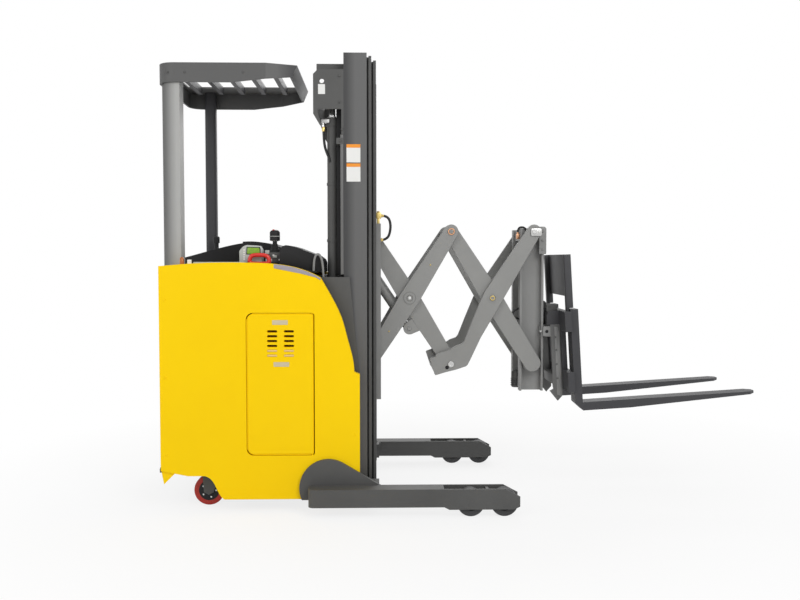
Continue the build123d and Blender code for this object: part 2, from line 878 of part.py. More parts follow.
middle_tie_half = outer_inner_edge - moving_gap
head_low = head_box_top + moving_gap
with BuildPart() as middle_ties:
    tie_x = (middle_rear - tie_thickness, middle_rear)
    for tie_z in (middle_foot + 60, middle_mid_tie):
        block(tie_x, (-middle_tie_half, middle_tie_half), (tie_z, tie_z + tie_height))
    block(tie_x, (-middle_tie_half, middle_tie_half), (head_low, middle_top))
    for sign in (-1, 1):
        head_y = (sign * cylinder_y - 32, sign * cylinder_y + 32)
        block((head_box_rear + 12, middle_rear - tie_thickness), head_y, (head_low, head_low + head_bracket_height))
finish(middle_ties, "middle_ties")

with BuildPart() as lift_rods:
    rod_low = frame_top + barrel_wall_foot + 30
    disc(level(rod_low), (cylinder_x, cylinder_y), rod_radius, head_low - rod_low)
    mirror(about=Plane.XZ)
finish(lift_rods, "lift_rods")

# Inner mast: beams nested in the middle beams, with rear ties and slide pads
inner_rear = middle_rear + stage_step
inner_outer_edge = middle_outer_edge - stage_inset
inner_inner_edge = inner_outer_edge - 2 * stage_half
inner_web = ((inner_outer_edge + inner_inner_edge - web) / 2, (inner_outer_edge + inner_inner_edge + web) / 2)
inner_top = middle_top - stage_drop
inner_foot = middle_foot + 10
with BuildPart() as mast_inner:
    rail(inner_rear, rail_depth, ((inner_inner_edge, inner_outer_edge), inner_web), inner_foot, inner_top)
    pad_x = (middle_rear + flange + running_gap, inner_rear)
    block(pad_x, (middle_inner_edge + 2, inner_outer_edge - 2), (inner_foot + 25, inner_foot + 25 + pad_height))
    mirror(about=Plane.XZ)
finish(mast_inner, "mast_inner")

inner_tie_half = middle_inner_edge - moving_gap
with BuildPart() as inner_ties:
    for tie_z in (inner_foot, inner_mid_tie, inner_top - tie_height):
        block((inner_rear - 14, inner_rear), (-inner_tie_half, inner_tie_half), (tie_z, tie_z + tie_height))
finish(inner_ties, "inner_ties")

# Reach carriage: channels opening inward, cross ties, guide rollers and the arm pivot pins
channel_inner = channel_face - channel_web - channel_flange
with BuildPart() as reach_carriage:
    channel_x = (pivot_x - channel_half, pivot_x + channel_half)
    block(channel_x, (channel_face - channel_web, channel_face), (channel_low, channel_top))
    for edge_x in (channel_x[0], channel_x[1] - channel_web):
        flange_y = (channel_inner, channel_face - channel_web)
        block((edge_x, edge_x + channel_web), flange_y, (channel_low, channel_top))
    roller_x = inner_rear + rail_depth / 2
    roller_radius = rail_depth / 2 - flange - running_gap
    for roller_z in guide_roller_heights:
        face = side(channel_face + 10 + guide_roller_width)
        disc(face, (roller_x, roller_z), roller_radius, guide_roller_width)
        disc(side(channel_face + 10), (roller_x, roller_z), 28, 10)
    pin_tip = inner_arm_inner - 4
    disc(side(channel_face - channel_web), (pivot_x, pivot_z), arm_pin_radius, channel_face - channel_web - pin_tip)
    boss_face = inner_arm_outer + running_gap
    boss = channel_face - channel_web - boss_face
    disc(side(channel_face - channel_web), (pivot_x, pivot_z), arm_collar_radius, boss)
    mirror(about=Plane.XZ)
finish(reach_carriage, "reach_carriage")

tie_front = channel_x[0] + 14
bracket_half = reach_eye_width / 2 + running_gap
with BuildPart() as carriage_ties:
    for tie_z in (channel_low, 1010, channel_top - 80):
        block((channel_x[0], tie_front), (-channel_inner, channel_inner), (tie_z, tie_z + 80))
    anchor_tie = (reach_anchor_z - 45, reach_anchor_z + 45)
    block((channel_x[0], tie_front), (-channel_inner, channel_inner), anchor_tie)
    ear = (
        (tie_front, reach_anchor_z - 40),
        (reach_anchor_x, reach_anchor_z - 22),
        (reach_anchor_x + 22, reach_anchor_z),
        (reach_anchor_x, reach_anchor_z + 22),
        (tie_front, reach_anchor_z + 40),
    )
    for ear_y in (reach_cylinder_y + bracket_half + 10, reach_cylinder_y - bracket_half):
        plate(side(ear_y), ear, 10)
    pin_length = 2 * bracket_half + 24
    pin_face = side(reach_cylinder_y + bracket_half + 12)
    disc(pin_face, (reach_anchor_x, reach_anchor_z), anchor_pin_radius, pin_length)
    mirror(about=Plane.XZ)
finish(carriage_ties, "carriage_ties")


def arm_plate(face_y, start, end):
    """Arm between two pivots, standing inboard of its outer face."""
    with BuildSketch(side(face_y)) as outline:
        for pivot in (start, end):
            with Locations(pivot):
                Circle(arm_width / 2)
        make_hull()
    extrude(outline.sketch, amount=arm_thickness)


def pivot_bore(face_y, place, thickness):
    """Running bore for a pivot pin."""
    disc(side(face_y), place, arm_pin_radius + running_gap, thickness, Mode.SUBTRACT)


pin_reach = arm_outer_face - inner_arm_inner + 6

# First arms: inner plane, from the carriage pivots down to the low middle pivots
lug = (
    cross_rear[0] + (lug_along - half_arm) * cos(radians(reach_angle)) - lug_across * sin(radians(reach_angle)),
    cross_rear[1] - (lug_along - half_arm) * sin(radians(reach_angle)) - lug_across * cos(radians(reach_angle)),
)
lug_root = (
    cross_rear[0] + (lug_along - half_arm) * cos(radians(reach_angle)),
    cross_rear[1] - (lug_along - half_arm) * sin(radians(reach_angle)),
)
with BuildPart() as arms_first:
    arm_plate(inner_arm_outer, (pivot_x, pivot_z), low_mid)
    with BuildSketch(side(inner_arm_outer)) as ear:
        with Locations(lug):
            Circle(lug_radius)
        with Locations(lug_root):
            Circle(lug_radius + 14)
        make_hull()
    extrude(ear.sketch, amount=arm_thickness)
    pivot_bore(inner_arm_outer, (pivot_x, pivot_z), arm_thickness)
    disc(side(inner_arm_outer + 4), lug, lug_pin_radius, arm_thickness + 8)
    for place in (cross_rear, low_mid):
        disc(side(arm_outer_face + 3), place, arm_pin_radius, pin_reach)
    disc(side(inner_arm_outer), cross_rear, tube_radius, inner_arm_outer)
    mirror(about=Plane.XZ)
finish(arms_first, "arms_first")

# Second arms: outer plane, from the rear rollers up to the apex
with BuildPart() as arms_second:
    arm_plate(arm_outer_face, rear_roller, apex)
    pivot_bore(arm_outer_face, cross_rear, arm_thickness)
    pivot_bore(arm_outer_face, apex, arm_thickness)
    roller_face = channel_face - channel_web - 3
    slot_radius = channel_half - channel_web - running_gap
    disc(side(roller_face), rear_roller, slot_radius, roller_face - channel_inner - 1)
    disc(side(channel_inner + 1), rear_roller, arm_pin_radius, channel_inner + 1 - arm_outer_face)
    disc(side(arm_inner_face), rear_roller, tube_radius, arm_inner_face)
    mirror(about=Plane.XZ)
finish(arms_second, "arms_second")

# Third arms: inner plane, from the apex down to the front rollers
with BuildPart() as arms_third:
    arm_plate(inner_arm_outer, apex, front_roller)
    for place in (apex, cross_front):
        disc(side(arm_outer_face + 3), place, arm_pin_radius, pin_reach)
    disc(side(inner_arm_outer), apex, tube_radius, inner_arm_outer)
    front_channel_tip = front_web_face + front_flange
    roller_face = front_channel_tip - 2
    slot_radius = (front_rail_rear + front_rail_front) / 2 - front_web - running_gap
    disc(side(roller_face), front_roller, slot_radius - 3, roller_face - front_web_face - front_web - 3)
    disc(side(inner_arm_inner), front_roller, arm_pin_radius, inner_arm_inner - roller_face)
    mirror(about=Plane.XZ)
finish(arms_third, "arms_third")

# Fourth arms: outer plane, from the low middle pivots up to the front pins, with a cranked foot
foot_tube = (low_mid[0] - 80, low_mid[1] - 50)
with BuildPart() as arms_fourth:
    arm_plate(arm_outer_face, low_mid, front_pin)
    foot = (
        (low_mid[0] - 15, low_mid[1] + 40),
        (low_mid[0] - 112, low_mid[1] + 20),
        (low_mid[0] - 119, low_mid[1] + 2),
        (low_mid[0] - 104, low_mid[1] - 62),
        (low_mid[0] - 82, low_mid[1] - 74),
        (low_mid[0] + 15, low_mid[1] - 48),
    )
    plate(side(arm_outer_face), foot, arm_thickness)
    for place in (low_mid, cross_front, front_pin):
        pivot_bore(arm_outer_face, place, arm_thickness)
    disc(side(arm_inner_face), foot_tube, foot_tube_radius, arm_inner_face)
    mirror(about=Plane.XZ)
finish(arms_fourth, "arms_fourth")

# Reach cylinders between the carriage and the first arms' lugs
swing_x = lug[0] - reach_anchor_x
swing_z = lug[1] - reach_anchor_z
reach_length = sqrt(swing_x**2 + swing_z**2)
reach_dir = (swing_x / reach_length, 0, swing_z / reach_length)


def along(distance, y):
    """Plane square to the reach cylinders, a distance from their anchor pins."""
    start = (
        reach_anchor_x - middle_x + distance * reach_dir[0],
        y,
        reach_anchor_z + distance * reach_dir[2],
    )
    return Plane(origin=start, x_dir=(0, 1, 0), z_dir=reach_dir)


barrel_start = 36
with BuildPart() as reach_barrels:
    disc(along(barrel_start, reach_cylinder_y), (0, 0), reach_barrel_radius, reach_barrel_length - barrel_start)
    bore_length = reach_barrel_length - barrel_start - 20
    disc(along(barrel_start + 20, reach_cylinder_y), (0, 0), reach_rod_radius + running_gap, bore_length, Mode.SUBTRACT)
    disc(side(reach_cylinder_y + reach_eye_width / 2), (reach_anchor_x, reach_anchor_z), 24, reach_eye_width)
    disc(along(15, reach_cylinder_y), (0, 0), 18, barrel_start - 15)
    eye_bore = anchor_pin_radius + running_gap
    disc(side(reach_cylinder_y + reach_eye_width / 2), (reach_anchor_x, reach_anchor_z), eye_bore, reach_eye_width, Mode.SUBTRACT)
    mirror(about=Plane.XZ)
finish(reach_barrels, "reach_barrels")

with BuildPart() as reach_rods:
    rod_start = barrel_start + 70
    rod_length = reach_length - rod_start - 20
    disc(along(rod_start, reach_cylinder_y), (0, 0), reach_rod_radius, rod_length)
    disc(side(reach_cylinder_y + reach_eye_width / 2), lug, 25, reach_eye_width)
    mirror(about=Plane.XZ)
finish(reach_rods, "reach_rods")

# Front frame: channels opening outward, cross ties, pin bosses and tilt lugs
front_x = (front_pin[0] - front_rail_rear, front_pin[0] + front_rail_front)
with BuildPart() as front_frame:
    block(front_x, (front_web_face, front_web_face + front_web), (front_low, front_top))
    for edge_x in (front_x[0], front_x[1] - front_web):
        flange_y = (front_web_face + front_web, front_web_face + front_flange)
        block((edge_x, edge_x + front_web), flange_y, (front_low, front_top))
    boss_face = arm_inner_face - running_gap
    disc(side(boss_face), front_pin, arm_collar_radius, boss_face - front_web_face)
    disc(side(arm_outer_face + 3), front_pin, arm_pin_radius, arm_outer_face + 3 - front_web_face)
    notch_y = (front_web_face + front_web, front_web_face + front_flange)
    notch_z = (tilt_z - tilt_ear_radius - 20, tilt_z + tilt_ear_radius + 20)
    block((front_x[1] - front_web, front_x[1]), notch_y, notch_z, Mode.SUBTRACT)
    disc(side(tilt_ear_inner - running_gap), (tilt_x, tilt_z), tilt_ear_radius + 4, tilt_ear_inner - front_web_face - running_gap)
    disc(side(tilt_ear_outer + 5), (tilt_x, tilt_z), tilt_pin_radius, tilt_ear_outer + 5 - front_web_face)
    mirror(about=Plane.XZ)
finish(front_frame, "front_frame")

with BuildPart() as front_ties:
    tie_x = (front_x[0] + 10, front_x[1] - 10)
    for tie_z in (front_low + 5, front_top - 65):
        block(tie_x, (-front_web_face, front_web_face), (tie_z, tie_z + 60))
    block((front_x[1] - 30, front_x[1] - 12), (-front_web_face, front_web_face), (tilt_z - 40, tilt_z + 40))
finish(front_ties, "front_ties")

# Tilt frame: two cheeks, top and bottom bars and the lower hook
cheek_front = shank_rear - carriage_thickness - running_gap
with BuildPart() as tilt_frame:
    cheek = (
        (cheek_rear, cheek_low),
        (12, cheek_low - 10),
        (52, cheek_low - 66),
        (cheek_front, cheek_low - 34),
        (cheek_front, cheek_top),
        (cheek_rear, cheek_top),
    )
    plate(tilted(cheek_y + cheek_thickness), cheek, cheek_thickness)
    ear = (
        (-tilt_ear_radius, -tilt_ear_radius),
        (cheek_rear + 12, -tilt_ear_radius - 12),
        (cheek_rear + 12, cheek_top - 20),
        (-tilt_ear_radius, tilt_ear_radius),
    )
    plate(tilted(tilt_ear_outer), ear, tilt_ear_thickness)
    bore = tilt_pin_radius + running_gap
    disc(side(tilt_ear_outer), (tilt_x, tilt_z), bore, tilt_ear_thickness, Mode.SUBTRACT)
    for bar_low in (cheek_low + 20, cheek_top - 70):
        bar = (
            (cheek_rear + 8, bar_low),
            (cheek_front, bar_low),
            (cheek_front, bar_low + 50),
            (cheek_rear + 8, bar_low + 50),
        )
        plate(tilted(cheek_y), bar, cheek_y)
    mirror(about=Plane.XZ)
finish(tilt_frame, "tilt_frame")

# Fork carriage: upper and lower bars, uprights and top hooks over the tilt frame
carriage_rear = shank_rear - carriage_thickness
with BuildPart() as fork_carriage:
    for bar_low in (carriage_low, carriage_top - carriage_bar):
        bar = (
            (carriage_rear, bar_low),
            (shank_rear, bar_low),
            (shank_rear, bar_low + carriage_bar),
            (carriage_rear, bar_low + carriage_bar),
        )
        plate(tilted(carriage_half_width), bar, carriage_half_width)
    post = (
        (carriage_rear, carriage_low + carriage_bar),
        (shank_rear - 8, carriage_low + carriage_bar),
        (shank_rear - 8, carriage_top - carriage_bar),
        (carriage_rear, carriage_top - carriage_bar),
    )
    plate(tilted(200), post, 60)
    hook = (
        (carriage_rear + 2, cheek_top + running_gap),
        (carriage_rear + 2, carriage_top),
        (25, carriage_top),
        (15, carriage_top - 30),
        (15, cheek_top + running_gap),
    )
    plate(tilted(cheek_y + cheek_thickness), hook, 60)
    mirror(about=Plane.XZ)
finish(fork_carriage, "fork_carriage")

# Forks: upright shank, bevelled heel and a tapered blade
heel_low = blade_top - heel_thickness
for hand, sign in side_names:
    with BuildPart() as fork:
        profile = (
            (shank_rear, shank_top),
            (shank_rear + shank_thickness, shank_top),
            (shank_rear + shank_thickness, blade_top),
            (fork_reach, blade_top),
            (fork_reach, blade_top - fork_tip_thickness),
            (shank_rear + 300, heel_low),
            (shank_rear + 42, heel_low),
            (shank_rear, heel_low + 42),
        )
        plate(tilted(sign * fork_y + fork_width / 2), profile, fork_width)
        tip_edges = fork.edges().filter_by(GeomType.LINE).sort_by(Axis.X)
        tips = [edge for edge in tip_edges if abs(edge.length - fork_tip_thickness) < 0.01][-2:]
        chamfer(tips, 30)
    finish(fork, "fork_" + hand)

# Load backrest: uprights standing on the carriage and a plate across them
with BuildPart() as load_backrest:
    upright = (
        (carriage_rear + 4, carriage_top),
        (shank_rear - 2, carriage_top),
        (shank_rear + 2, rest_plate_low),
        (shank_rear + 2, rest_plate_top),
        (shank_rear - 16, rest_plate_top),
        (shank_rear - 16, rest_plate_low),
    )
    plate(tilted(rest_half_width), upright, rest_upright)
    sheet = (
        (shank_rear + 2, rest_plate_low),
        (shank_rear + 2 + rest_plate, rest_plate_low),
        (shank_rear + 2 + rest_plate, rest_plate_top),
        (shank_rear + 2, rest_plate_top),
    )
    plate(tilted(rest_half_width), sheet, rest_half_width)
    mirror(about=Plane.XZ)
finish(load_backrest, "load_backrest")

# Drive unit: turning flange, motor, neck and the arm that holds the wheel
shelf_top = drive_plate_z + 15
with BuildPart() as drive_unit:
    disc(level(shelf_top + running_gap), (drive_x, drive_y), drive_neck_radius + 25, 20)
    disc(level(shelf_top + 20), (drive_x, drive_y), drive_motor_radius, drive_motor_top - shelf_top - 20)
    disc(level(2 * drive_wheel_radius + 12), (drive_x, drive_y), drive_neck_radius, shelf_top + 10 - 2 * drive_wheel_radius - 12)
    gear_y = drive_y + drive_wheel_width / 2 + moving_gap
    block((drive_x - 50, drive_x + 50), (gear_y, gear_y + 34), (drive_wheel_radius - 50, 2 * drive_wheel_radius + 40))
    disc(side(gear_y + 10), (drive_x, drive_wheel_radius), drive_axle_radius, drive_wheel_width + moving_gap + 10)
finish(drive_unit, "drive_unit")

with BuildPart() as drive_wheel:
    face = side(drive_y + drive_wheel_width / 2)
    disc(face, (drive_x, drive_wheel_radius), drive_wheel_radius, drive_wheel_width)
    fillet(drive_wheel.edges().filter_by(GeomType.CIRCLE), 8)
    disc(face, (drive_x, drive_wheel_radius), drive_axle_radius + running_gap, drive_wheel_width, Mode.SUBTRACT)
finish(drive_wheel, "drive_wheel")

# Caster: swivel neck under the platform, fork and wheel
caster_wheel_x = caster_x - caster_trail
crown_low = 2 * caster_wheel_radius + moving_gap
with BuildPart() as caster_fork:
    disc(level(crown_low + 10), (caster_x, caster_y), caster_neck_radius, floor_bottom - running_gap - crown_low - 10)
    half = caster_wheel_width / 2 + moving_gap
    cheek = (
        (caster_x + 30, crown_low + 12),
        (caster_x - 62, crown_low + 12),
        (caster_wheel_x - 26, caster_wheel_radius - 8),
        (caster_wheel_x, caster_wheel_radius - 22),
        (caster_wheel_x + 26, caster_wheel_radius - 8),
    )
    for face_y in (caster_y + half + 8, caster_y - half):
        plate(side(face_y), cheek, 8)
    block((caster_x - 62, caster_x + 30), (caster_y - half, caster_y + half), (crown_low, crown_low + 12))
    disc(side(caster_y + half), (caster_wheel_x, caster_wheel_radius), caster_axle_radius, 2 * half)
finish(caster_fork, "caster_fork")

with BuildPart() as caster_wheel:
    face = side(caster_y + caster_wheel_width / 2)
    disc(face, (caster_wheel_x, caster_wheel_radius), caster_wheel_radius, caster_wheel_width)
    fillet(caster_wheel.edges().filter_by(GeomType.CIRCLE), 6)
    bore = caster_axle_radius + running_gap
    disc(face, (caster_wheel_x, caster_wheel_radius), bore, caster_wheel_width, Mode.SUBTRACT)
finish(caster_wheel, "caster_wheel")
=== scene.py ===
import json
import math

import bmesh
import bpy
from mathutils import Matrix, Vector


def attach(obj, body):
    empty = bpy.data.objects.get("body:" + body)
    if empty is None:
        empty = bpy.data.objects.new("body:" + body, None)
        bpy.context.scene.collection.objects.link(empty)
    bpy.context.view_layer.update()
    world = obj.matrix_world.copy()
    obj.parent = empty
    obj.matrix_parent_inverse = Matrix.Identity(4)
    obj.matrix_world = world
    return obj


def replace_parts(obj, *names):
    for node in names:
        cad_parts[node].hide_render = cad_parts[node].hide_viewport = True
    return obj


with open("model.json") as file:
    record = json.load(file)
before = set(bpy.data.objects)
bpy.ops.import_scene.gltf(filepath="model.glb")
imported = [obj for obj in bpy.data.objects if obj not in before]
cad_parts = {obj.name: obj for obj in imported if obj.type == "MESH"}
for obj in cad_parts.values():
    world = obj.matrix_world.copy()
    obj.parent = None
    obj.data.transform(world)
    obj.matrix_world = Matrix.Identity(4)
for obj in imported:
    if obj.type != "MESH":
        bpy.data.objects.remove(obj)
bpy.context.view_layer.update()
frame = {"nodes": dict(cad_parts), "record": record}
NODES = frame["nodes"]


# Node helpers

def new_material(name):
    """Empty material with its node tree and output."""
    mat = bpy.data.materials.new(name)
    mat.use_nodes = True
    tree = mat.node_tree
    tree.nodes.clear()
    out = tree.nodes.new("ShaderNodeOutputMaterial")
    bsdf = tree.nodes.new("ShaderNodeBsdfPrincipled")
    tree.links.new(bsdf.outputs[0], out.inputs[0])
    return mat, tree, bsdf


def object_noise(tree, scale, detail=4.0, roughness=0.6, stretch=(1, 1, 1)):
    """Noise fixed to the object, in metres."""
    coords = tree.nodes.new("ShaderNodeTexCoord")
    mapping = tree.nodes.new("ShaderNodeMapping")
    mapping.inputs["Scale"].default_value = stretch
    noise = tree.nodes.new("ShaderNodeTexNoise")
    noise.inputs["Scale"].default_value = scale
    noise.inputs["Detail"].default_value = detail
    noise.inputs["Roughness"].default_value = roughness
    tree.links.new(coords.outputs["Object"], mapping.inputs["Vector"])
    tree.links.new(mapping.outputs["Vector"], noise.inputs["Vector"])
    return noise


def ramp(tree, source, low, high, dark, light):
    """Colour ramp between two values of a source."""
    node = tree.nodes.new("ShaderNodeValToRGB")
    node.color_ramp.elements[0].position = low
    node.color_ramp.elements[0].color = (*dark, 1)
    node.color_ramp.elements[1].position = high
    node.color_ramp.elements[1].color = (*light, 1)
    tree.links.new(source, node.inputs["Fac"])
    return node


def soft_edges(tree, radius):
    """Normal that rounds sharp edges by a small radius."""
    bevel = tree.nodes.new("ShaderNodeBevel")
    bevel.samples = 4
    bevel.inputs["Radius"].default_value = radius
    return bevel


def bump(tree, height, strength, distance, normal=None):
    """Bump from a height, laid over another normal."""
    node = tree.nodes.new("ShaderNodeBump")
    node.inputs["Strength"].default_value = strength
    node.inputs["Distance"].default_value = distance
    tree.links.new(height, node.inputs["Height"])
    if normal is not None:
        tree.links.new(normal, node.inputs["Normal"])
    return node


def scaled(colour, factor):
    return tuple(min(1.0, c * factor) for c in colour)


def coated(name, colour, roughness, mottle=0.06, grain=900, grain_depth=0.0002, coat=0.0, metallic=0.0, edge=0.0015, gloss=0.4):
    """Painted or moulded surface: slight mottling, fine grain and softened edges."""
    mat, tree, bsdf = new_material(name)
    broad = object_noise(tree, 3.0, 5.0)
    tone = ramp(tree, broad.outputs["Fac"], 0.3, 0.7, scaled(colour, 1 - mottle), scaled(colour, 1 + mottle))
    tree.links.new(tone.outputs["Color"], bsdf.inputs["Base Color"])
    fine = object_noise(tree, grain, 2.0)
    sheen = tree.nodes.new("ShaderNodeMapRange")
    sheen.inputs["To Min"].default_value = max(0.02, roughness - 0.06)
    sheen.inputs["To Max"].default_value = min(1.0, roughness + 0.06)
    patches = object_noise(tree, 14.0, 4.0)
    tree.links.new(patches.outputs["Fac"], sheen.inputs["Value"])
    tree.links.new(sheen.outputs["Result"], bsdf.inputs["Roughness"])
    rounded = soft_edges(tree, edge)
    relief = bump(tree, fine.outputs["Fac"], 0.35, grain_depth, rounded.outputs["Normal"])
    tree.links.new(relief.outputs["Normal"], bsdf.inputs["Normal"])
    bsdf.inputs["Metallic"].default_value = metallic
    bsdf.inputs["Specular IOR Level"].default_value = gloss
    bsdf.inputs["Coat Weight"].default_value = coat
    bsdf.inputs["Coat Roughness"].default_value = 0.12
    return mat


def painted_light_along(name, rear, front, low, high):
    """Painted light and shade: paint whose tone runs from a rear colour to a front colour along the truck, between two
    places in metres.
    """
    mat = coated(name, front, 0.5)
    tree = mat.node_tree
    coords = tree.nodes.new("ShaderNodeTexCoord")
    split = tree.nodes.new("ShaderNodeSeparateXYZ")
    tree.links.new(coords.outputs["Object"], split.inputs[0])
    along = tree.nodes.new("ShaderNodeMapRange")
    along.inputs["From Min"].default_value = low
    along.inputs["From Max"].default_value = high
    tree.links.new(split.outputs["X"], along.inputs["Value"])
    tone = ramp(tree, along.outputs["Result"], 0.0, 1.0, rear, front)
    tree.links.new(tone.outputs["Color"], tree.nodes["Principled BSDF"].inputs["Base Color"])
    return mat


def polished(name, colour, roughness, brushed=(1, 1, 40), depth=0.00005):
    """Bare metal with fine drawn lines."""
    mat, tree, bsdf = new_material(name)
    lines = object_noise(tree, 60.0, 3.0, 0.6, brushed)
    tone = ramp(tree, lines.outputs["Fac"], 0.25, 0.75, scaled(colour, 0.86), scaled(colour, 1.08))
    tree.links.new(tone.outputs["Color"], bsdf.inputs["Base Color"])
    rounded = soft_edges(tree, 0.0008)
    relief = bump(tree, lines.outputs["Fac"], 0.2, depth, rounded.outputs["Normal"])
    tree.links.new(relief.outputs["Normal"], bsdf.inputs["Normal"])
    bsdf.inputs["Metallic"].default_value = 1.0
    bsdf.inputs["Roughness"].default_value = roughness
    return mat


def glowing(name, colour, strength):
    """Lit display with a faint cell pattern."""
    mat, tree, bsdf = new_material(name)
    cells = object_noise(tree, 140.0, 1.0)
    tone = ramp(tree, cells.outputs["Fac"], 0.35, 0.65, scaled(colour, 0.8), colour)
    tree.links.new(tone.outputs["Color"], bsdf.inputs["Base Color"])
    tree.links.new(tone.outputs["Color"], bsdf.inputs["Emission Color"])
    bsdf.inputs["Emission Strength"].default_value = strength
    bsdf.inputs["Roughness"].default_value = 0.15
    return mat


# Finishes
YELLOW = coated("yellow_paint", (1.0, 0.655, 0.001), 0.4, 0.02, 700, 0.00012, 0.03, gloss=0.1)
DARK = coated("dark_paint", (0.082, 0.082, 0.08), 0.5, 0.1, 1100, 0.0003)
ARM = coated("arm_paint", (0.265, 0.265, 0.257), 0.48, 0.07, 1000, 0.00025)
LIGHT = coated("light_paint", (0.25, 0.25, 0.245), 0.45, 0.08, 1000, 0.00025)
# Dark fork paint, also used as painted shade on the left guard column.
FORK_PAINT_AND_SHADE = coated("fork_paint_and_painted_shade", (0.05, 0.05, 0.054), 0.5, 0.1, 1100, 0.0003, gloss=0.3)
MIDDLE = coated("middle_paint", (0.14, 0.14, 0.138), 0.5, 0.1, 1000, 0.0003)
# Mast outer channel paint, darker at the rear and lighter at the front: painted shade and painted light.
RAIL_PAINTED_SHADE = painted_light_along("rail_painted_shade", (0.045, 0.045, 0.046), (0.115, 0.115, 0.115), -0.622, -0.575)
# Right guard column paint, darker at the rear and lighter at the front: painted shade and painted light.
COLUMN_PAINTED_LIGHT = painted_light_along("column_painted_light", (0.06, 0.06, 0.059), (0.4, 0.4, 0.39), -1.5875, -1.5)
# Guard paint, lighter at the rear and darker at the front: painted light and painted shade.
GUARD_PAINTED_SHADE = painted_light_along("guard_painted_shade", (0.098, 0.098, 0.097), (0.036, 0.036, 0.038), -0.98, -0.905)
TRIM = coated("deck_trim", (0.34, 0.31, 0.34), 0.5, 0.08, 900, 0.0003)
BLACK = coated("cowl_plastic", (0.012, 0.012, 0.013), 0.5, 0.15, 1600, 0.0005, gloss=0.25)
TREAD = coated("tread", (0.045, 0.045, 0.047), 0.55, 0.2, 500, 0.0004)
RED_TREAD = coated("red_tread", (0.42, 0.03, 0.02), 0.45, 0.15, 500, 0.0003)
STEEL = polished("steel", (0.62, 0.62, 0.6), 0.32)
ZINC = coated("zinc", (0.56, 0.56, 0.55), 0.35, 0.15, 300, 0.0002, metallic=1.0)
BRASS = polished("brass", (0.74, 0.56, 0.2), 0.3)
COPPER = polished("copper", (0.62, 0.34, 0.2), 0.35)
CHROME = polished("chrome_rod", (0.82, 0.82, 0.82), 0.12, depth=0.00002)
BATTERY = coated("battery_case", (0.05, 0.05, 0.055), 0.6, 0.1)
RUBBER = coated("hose_rubber", (0.018, 0.018, 0.018), 0.6, 0.2, 700, 0.0004)
MAT = coated("mat_rubber", (0.03, 0.03, 0.031), 0.7, 0.2, 420, 0.0008)
RED = coated("red_plastic", (0.72, 0.035, 0.025), 0.35, 0.04, 900, 0.0002, 0.2)
BEZEL = coated("bezel_plastic", (0.5, 0.52, 0.49), 0.5, 0.05, 900, 0.0003)
SCREEN = glowing("screen", (0.2, 0.38, 0.02), 0.2)
PALE = coated("label_white", (0.8, 0.8, 0.78), 0.5, 0.03)
PLATE = coated("door_plate", (0.62, 0.54, 0.36), 0.5, 0.06)
# Dark brown for the sheets behind the vent slots: painted shade inside the vents.
VENT_PAINTED_SHADE = coated("vent_painted_shade", (0.1, 0.045, 0.004), 0.7, 0.2)
ORANGE = coated("label_orange", (0.86, 0.3, 0.03), 0.5, 0.05)
BUFF = coated("vent_filler", (0.86, 0.58, 0.22), 0.5, 0.05)
AMBER = coated("lamp_amber", (0.45, 0.14, 0.03), 0.25, 0.08)

SLOT_FINISH = {
    "yellow_paint": YELLOW,
    "dark_paint": DARK,
    "arm_paint": ARM,
    "light_paint": LIGHT,
    "cowl_plastic": BLACK,
    "tread": TREAD,
    "red_tread": RED_TREAD,
    "chrome_rod": CHROME,
    "battery_case": BATTERY,
    "bezel_plastic": BEZEL,
    "red_plastic": RED,
    "mat_rubber": MAT,
}
for row in frame["record"]["subparts"]:
    mesh = NODES[row["node"]].data
    mesh.materials.clear()
    mesh.materials.append(SLOT_FINISH[row["material_slot"]])
NODE_FINISH = {
    "reach_barrels": ARM,
    "tilt_frame": MIDDLE,
    "fork_carriage": FORK_PAINT_AND_SHADE,
    "fork_right": FORK_PAINT_AND_SHADE,
    "fork_left": FORK_PAINT_AND_SHADE,
    "load_backrest": FORK_PAINT_AND_SHADE,
    "mast_outer": RAIL_PAINTED_SHADE,
    "guard": GUARD_PAINTED_SHADE,
    "guard_ribs": FORK_PAINT_AND_SHADE,
    "guard_column_right": COLUMN_PAINTED_LIGHT,
    # The left guard column takes the dark fork paint as painted shade; on the truck both columns share one paint.
    "guard_column_left": FORK_PAINT_AND_SHADE,
}
for name, finish in NODE_FINISH.items():
    NODES[name].data.materials[0] = finish


# Mesh helpers: places are in millimetres, lengthwise ones from the mast datum as in the part's source
MIDDLE_X = 452.527
HANDS = (("right", -1), ("left", 1))


def at(x, y, z):
    """Place in the shared frame, in metres."""
    return Vector(((x - MIDDLE_X) / 1000, y / 1000, z / 1000))


def add_block(bm, x, y, z, edge=1.0):
    """Bar between two places on each axis, with its edges cut back."""
    verts = [bm.verts.new(at(a, b, c)) for a in x for b in y for c in z]
    sides = ((0, 1, 3, 2), (4, 6, 7, 5), (0, 4, 5, 1), (2, 3, 7, 6), (0, 2, 6, 4), (1, 5, 7, 3))
    faces = [bm.faces.new([verts[i] for i in side]) for side in sides]
    cut_edges(bm, faces, edge)


def cut_edges(bm, faces, edge):
    """Small chamfer along the edges of some faces."""
    if edge > 0:
        edges = list({e for f in faces for e in f.edges})
        bmesh.ops.bevel(bm, geom=edges, offset=edge / 1000, segments=2, profile=0.6, affect="EDGES")


def add_plate(bm, outline, y, edge=0.8):
    """Plate cut from a side outline, between two places across the truck."""
    near = [bm.verts.new(at(px, y[0], pz)) for px, pz in outline]
    far = [bm.verts.new(at(px, y[1], pz)) for px, pz in outline]
    faces = [bm.faces.new(near), bm.faces.new(list(reversed(far)))]
    count = len(outline)
    for i in range(count):
        j = (i + 1) % count
        faces.append(bm.faces.new((near[j], near[i], far[i], far[j])))
    cut_edges(bm, faces, edge)


